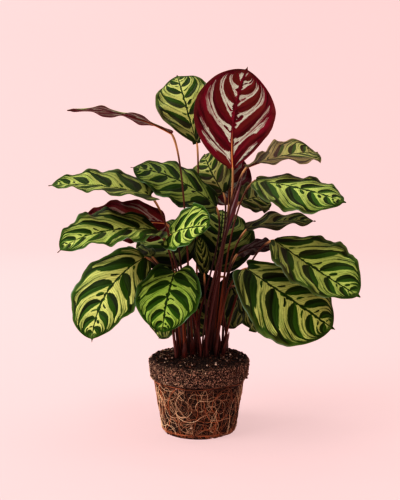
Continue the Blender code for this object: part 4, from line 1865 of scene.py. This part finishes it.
ROOT_SETS = (
    RootSet("side_roots_orange", ORANGE_ROOT, 46, 44, 2.4, 0.24, 0.44, 2.5, 69.0, 0.06, 1.2, 11),
    RootSet("side_roots_straw", STRAW_ROOT, 132, 44, 2.1, 0.16, 0.31, 3.0, 69.0, 0.08, 1.6, 12),
    RootSet("fine_roots", BROWN_ROOT, 500, 18, 1.4, 0.09, 0.16, 2.0, 71.0, 0.16, 0.9, 15),
    RootSet("base_roots", ORANGE_ROOT, 60, 24, 2.4, 0.25, 0.50, 0.9, 7.0, 0.10, 0.5, 16),
    RootSet("collar_roots", STRAW_ROOT, 380, 8, 0.9, 0.08, 0.15, 71.0, 98.0, 0.24, 0.9, 13),
    RootSet("top_roots", STRAW_ROOT, 90, 12, 1.3, 0.10, 0.18, 0.0, 42.0, 0.16, 0.8, 14, True),
)


@dataclass(frozen=True)
class RootMaker:
    """Makes sets of roots and the cage of thick roots.

    unrolled is the radius that the side is unrolled at, inner and span are
    the ring that roots on the top lie in, and memory the steps a turn lasts.
    """

    ball: RootBall
    unrolled: float = 60.0
    inner: float = 20.0
    span: float = 42.0
    memory: float = 5.0
    lags: int = 14
    cage_steps: int = 240
    cage_roots: int = 12
    cage_low: float = 4.6
    cage_top: float = 67.8
    cage_sides: int = 6

    def wander(self, kind: RootSet) -> tuple[Array, Array, Array]:
        """Ways of the roots over the unrolled side, as whole arrays.

        The heading is a running sum of a slowly changing turn, and the place
        is a running sum of its cosine and sine. Heights are folded back at
        the bounds as a triangle wave.

        Args:
            kind: The set of roots.

        Returns:
            Distances round the ball, heights and half-widths.
        """
        draw = np.random.default_rng(kind.seed)
        shape = (kind.count, kind.steps)
        turn = draw.normal(0, 1, shape)
        weight = np.exp(-np.arange(kind.steps) / self.memory)
        keep = min(self.lags, kind.steps)
        turn = sum(weight[lag] * np.roll(turn, lag, axis=1) for lag in range(keep))
        turn = turn / np.sqrt(np.sum(weight[:keep] ** 2)) + draw.normal(0, 0.7, (kind.count, 1))
        heading = draw.uniform(0, 2 * np.pi, (kind.count, 1))
        heading = heading + np.cumsum(turn * kind.curl * kind.step, axis=1)
        round_it = draw.uniform(0, 2 * np.pi * self.unrolled, (kind.count, 1))
        round_it = round_it + np.cumsum(np.cos(heading), axis=1) * kind.step
        height = draw.uniform(kind.low, kind.high, (kind.count, 1))
        height = height + np.cumsum(np.sin(heading), axis=1) * kind.step
        span = kind.high - kind.low
        height = kind.low + np.abs((height - kind.low + span) % (2 * span) - span)
        thick = draw.uniform(kind.thin, kind.thick, (kind.count, 1))
        taper = np.sin(np.pi * np.linspace(0.06, 0.97, kind.steps)) ** 0.4
        return round_it, height, thick * taper[None, :]

    def strands(self, kind: RootSet, material: Material) -> Object:
        """Make one set of roots as one piece.

        Args:
            kind: The set of roots.
            material: Its material.

        Returns:
            The piece.
        """
        round_it, height, radii = self.wander(kind)
        draw = np.random.default_rng(kind.seed + 100)
        stand = draw.uniform(0.1, kind.stand, (kind.count, 1))
        slow = np.linspace(0, 3, kind.steps)[None, :] * np.pi
        slow = slow + draw.uniform(0, ALL_ROUND, (kind.count, 1))
        stand = stand * (0.7 + 0.5 * np.sin(slow))
        angle = round_it / self.unrolled
        if kind.on_top:
            out = self.inner + (height - kind.low) / (kind.high - kind.low) * self.span
            paths = revolve(out, angle, soil_top(out) + 0.4 + stand)
            outward = np.broadcast_to(UP, paths.shape)
        else:
            paths = revolve(self.ball.reach(height) + stand + radii, angle, height)
            outward = revolve(1.0, angle, 0.0)
        return self.tube_piece(kind.name, paths, radii, outward, kind.sides, kind.seed, material)

    def tube_piece(self, name: str, paths: Array, radii: Array, outward: Array, sides: int,
                   seed: int, material: Material) -> Object:
        """Make a piece of tubes with a tone and a seed for each.

        Args:
            name: Name of the piece.
            paths: Points of the tubes' ways.
            radii: Half-widths.
            outward: Vectors that are never along the ways.
            sides: Points in a ring.
            seed: Seed of the tones.
            material: Its material.

        Returns:
            The piece.
        """
        points, faces = tubes(paths, radii, outward, sides)
        count, steps = paths.shape[:2]
        uv = tube_places(np.linspace(0, 1, steps), sides)
        draw = np.random.default_rng(seed + 200)
        tones = np.stack([draw.uniform(0, 1, count), draw.uniform(0, 1, count),
                          np.zeros(count)], axis=1)
        surface = Surface(name=name, points=points, faces=faces,
                          uv=np.tile(uv, (count, 1)),
                          traits={"root": np.repeat(tones, steps * sides + 2, axis=0)})
        return surface.build([material])

    def cage(self, material: Material) -> Object:
        """Make the thick roots: two rings and the roots that lean between them.

        A ring's height is a level plus a sine of the angle. A leaning root
        rises evenly while its angle leans and wavers.

        Args:
            material: Its material.

        Returns:
            The piece.
        """
        around = np.linspace(0, 2 * np.pi, self.cage_steps)
        low = self.cage_low + 0.9 * np.sin(3 * around + 0.4)
        top = self.cage_top + 0.8 * np.sin(4 * around)
        angles, heights = [around] * 3, [low, top, top + 1.6 + np.sin(5 * around)]
        draw = np.random.default_rng(7)
        rise, coarse = np.linspace(0, 1, self.cage_steps), np.linspace(0, 1, 7)
        climb = self.cage_low + (self.cage_top - self.cage_low) * rise
        for number in range(self.cage_roots):
            start = 2 * np.pi * (number + draw.uniform(-0.2, 0.2)) / self.cage_roots
            lean = draw.uniform(0.35, 0.75) * (1 if number % 2 else -1)
            waver = draw.uniform(0.05, 0.12) * np.sin(np.pi * coarse * draw.integers(2, 4))
            angles.append(start + lean * rise + np.interp(rise, coarse, waver))
            heights.append(climb + 0.8 * np.sin(21 * rise + number))
        angle, height = np.array(angles), np.array(heights)
        wobble = 0.35 * np.sin(17 * angle + height * 0.3)
        radii = 0.46 + 0.20 * np.sin(9 * angle + 0.2 * height) + 0.1 * np.sin(31 * angle)
        out = self.ball.reach(height) + 0.9 + wobble * 0.5
        return self.tube_piece("thick_roots", revolve(out, angle, height), radii,
                               revolve(1.0, angle, 0.0), self.cage_sides, 5, material)


@dataclass(frozen=True)
class CrumbMaker:
    """Scatters crumbs of soil, bark and grit over the ball as one piece.

    Sizes are drawn from a gamma spread of one shape and two scales.
    """

    ball: RootBall
    on_top: int = 1100
    on_side: int = 900
    reach: float = 64.0
    spread: float = 3.0
    top_size: float = 0.34
    side_size: float = 0.24
    seed: int = 33

    def places(self, draw: np.random.Generator) -> tuple[Array, Array]:
        """Middles and sizes of the crumbs.

        Args:
            draw: Source of random values.

        Returns:
            The middles, and a size for each.
        """
        angle = draw.uniform(0, 2 * np.pi, self.on_top)
        out = self.reach * np.sqrt(draw.uniform(0.02, 1.0, self.on_top))
        z = soil_top(out) + draw.uniform(-0.3, 1.2, self.on_top)
        top = revolve(out, angle, z - ease(out, 58, 66))
        angle = draw.uniform(0, 2 * np.pi, self.on_side)
        z = draw.uniform(1.0, 97.0, self.on_side)
        out = self.ball.reach(z) + draw.uniform(-0.3, 0.7, self.on_side)
        sizes = np.concatenate([draw.gamma(self.spread, self.top_size, self.on_top),
                                draw.gamma(self.spread, self.side_size, self.on_side)])
        return np.concatenate([top, revolve(out, angle, z)]), np.clip(sizes, 0.3, 2.6)

    def build(self, material: Material) -> Object:
        """Make the crumbs: twenty-sided lumps, stretched and roughened.

        Args:
            material: Their material.

        Returns:
            The piece.
        """
        draw = np.random.default_rng(self.seed)
        middles, sizes = self.places(draw)
        count = len(sizes)
        gold = (1 + math.sqrt(5)) / 2
        corners = unit(np.array([
            (-1, gold, 0), (1, gold, 0), (-1, -gold, 0), (1, -gold, 0),
            (0, -1, gold), (0, 1, gold), (0, -1, -gold), (0, 1, -gold),
            (gold, 0, -1), (gold, 0, 1), (-gold, 0, -1), (-gold, 0, 1)], dtype=float))
        faces = np.array([
            (0, 11, 5), (0, 5, 1), (0, 1, 7), (0, 7, 10), (0, 10, 11), (1, 5, 9), (5, 11, 4),
            (11, 10, 2), (10, 7, 6), (7, 1, 8), (3, 9, 4), (3, 4, 2), (3, 2, 6), (3, 6, 8),
            (3, 8, 9), (4, 9, 5), (2, 4, 11), (6, 2, 10), (8, 6, 7), (9, 8, 1)])
        lumps = corners[None] * draw.uniform(0.7, 1.25, (count, len(corners), 1))
        lumps = lumps * draw.uniform(0.55, 1.3, (count, 1, 3))
        points = middles[:, None] + lumps * sizes[:, None, None]
        shift = (np.arange(count) * len(corners))[:, None, None]
        tones = np.stack([draw.uniform(0, 1, count)] * 3, axis=1)
        surface = Surface(name="soil_crumbs", points=points.reshape(-1, 3),
                          faces=[(faces[None] + shift).reshape(-1, 3)],
                          traits={"crumb": np.repeat(tones, len(corners), axis=0)}, sharp=30.0)
        return surface.build([material])


# --------------------------------------------------------------------- studio


@dataclass(frozen=True)
class Lamp:
    """A square area light: its place and aim, its side and its watts."""

    name: str
    place: Place
    aim: Place
    side: float
    power: float

    def build(self) -> None:
        """Add the light to the scene."""
        lamp = bpy.data.lights.new(self.name, "AREA")
        lamp.shape = "SQUARE"
        lamp.size = self.side
        lamp.energy = self.power
        obj = bpy.data.objects.new(self.name, lamp)
        obj.location = self.place
        x, y, z = np.array(self.place) - np.array(self.aim)
        obj.rotation_euler = (math.atan2(math.hypot(x, y), z), 0.0, math.atan2(x, -y))
        bpy.context.scene.collection.objects.link(obj)


LAMPS = (
    Lamp("key", (-2.1, -0.85, 1.45), (0.0, 0.0, 0.25), 1.7, 46.0),
    Lamp("top", (-0.1, 0.2, 2.6), (0.0, 0.0, 0.25), 2.0, 25.0),
    Lamp("wall", (-1.5, 1.4, 2.5), (-0.2, 3.7, 0.8), 1.4, 44.0),
)


@dataclass(frozen=True)
class Studio:
    """Plain pale floor that curves up all round, soft lights and the camera.

    The camera stands where the photograph was taken, and focal is its focal
    length in pixels of a frame. The floor's sizes are radii in metres.
    """

    focal: float = 795.0
    frame: float = 400.0
    sensor: float = 36.0
    distance: float = 1.05
    height: float = 0.3416
    aside: float = 0.0013
    pitch: float = 5.4
    flat: tuple[float, ...] = (0.001, 0.4, 1.0, 1.8)
    floor: float = 2.6
    corner: float = 1.2
    wall: float = 3.6
    turns: int = 96
    sky: Colour = (1.0, 0.96, 0.95)
    sky_power: float = 0.32

    def bowl(self, material: Material) -> Object:
        """Make the stage: a flat disc, a quarter circle up, and a wall.

        Args:
            material: Its material.

        Returns:
            The stage.
        """
        sweep = np.linspace(0, np.pi / 2, 24)
        radius = np.concatenate([self.flat, self.floor + self.corner * np.sin(sweep),
                                 [self.floor + self.corner]])
        height = np.concatenate([np.zeros(len(self.flat)), self.corner * (1 - np.cos(sweep)),
                                 [self.wall]])
        angle = np.arange(self.turns + 1) * 2 * np.pi / self.turns
        points = revolve(radius[:, None], angle, height[:, None]) / MM
        faces = grid_quads(len(radius), self.turns + 1)
        surface = Surface(name="studio_floor", points=points.reshape(-1, 3), faces=[faces])
        stage = surface.build([material])
        return stage

    def build(self, material: Material) -> None:
        """Set the stage, the lights, the world and the camera.

        Args:
            material: Material of the stage.
        """
        self.bowl(material)
        for lamp in LAMPS:
            lamp.build()
        scene = bpy.context.scene
        world = bpy.data.worlds.new("soft_world")
        scene.world = world
        world.use_nodes = True
        sky = world.node_tree.nodes["Background"]
        sky.inputs["Color"].default_value = (*self.sky, 1.0)
        sky.inputs["Strength"].default_value = self.sky_power
        camera = bpy.data.cameras.new("photo_camera")
        camera.sensor_fit = "HORIZONTAL"
        camera.sensor_width = self.sensor
        camera.lens = self.focal / self.frame * self.sensor
        camera.clip_end = 50.0
        eye = bpy.data.objects.new("photo_camera", camera)
        eye.location = (self.aside, -self.distance, self.height)
        eye.rotation_euler = (math.radians(90.0 - self.pitch), 0.0, 0.0)
        scene.collection.objects.link(eye)
        scene.camera = eye
        scene.view_settings.view_transform = "Standard"
        scene.view_settings.look = "High Contrast"


# ----------------------------------------------------------------------- main


@dataclass
class PeacockPlant:
    """The whole plant: its leaves, its sheaths and its root ball."""

    blades: BladeMaker
    stalks: StalkMaker
    sheaths: SheathMaker
    ball: RootBall

    def leaves(self, groups: Groups) -> None:
        """Make every blade and stalk, the sheaths and the rolled leaf.

        Args:
            groups: The shared shader groups.
        """
        sides = [UpperLeafFinish().build(groups), UnderLeafFinish().build(groups)]
        stalk = StalkFinish().build(groups)
        for leaf in LEAVES:
            settle(self.blades.build(leaf, sides), Slot.LEAF, f"leaf_{leaf.name}_blade")
            settle(self.stalks.build(leaf, stalk), Slot.STALK, f"leaf_{leaf.name}_stalk")
        settle(self.sheaths.build(self.stalks, SheathFinish().build(groups)), Slot.STALK)
        roll = YoungLeafRoll().build(YoungLeafFinish().build(groups))
        settle(roll, Slot.YOUNG_LEAF, "young_leaf_roll")

    def root_ball(self, groups: Groups) -> None:
        """Make the ball, its crumbs and its roots.

        Args:
            groups: The shared shader groups.
        """
        settle(self.ball.build(SoilFinish().build()), Slot.SOIL, "root_ball")
        settle(CrumbMaker(self.ball).build(CrumbFinish().build()), Slot.SOIL)
        finishes = (ORANGE_ROOT, STRAW_ROOT, BROWN_ROOT)
        materials = {finish: finish.build(groups) for finish in finishes}
        maker = RootMaker(self.ball)
        settle(maker.cage(materials[ORANGE_ROOT]), Slot.ROOTS, "root_cage")
        for kind in ROOT_SETS:
            settle(maker.strands(kind, materials[kind.finish]), Slot.ROOTS)


def main() -> None:
    """Load the frame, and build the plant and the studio."""
    logging.basicConfig(level=logging.INFO, format="%(name)s %(message)s")
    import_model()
    pattern = LeafPattern()
    groups = Groups(pattern.build(), grain_group())
    plant = PeacockPlant(BladeMaker(pattern), StalkMaker(), SheathMaker(), RootBall())
    plant.leaves(groups)
    plant.root_ball(groups)
    Studio().build(StageFinish().build())


if __name__ == "__main__":
    main()
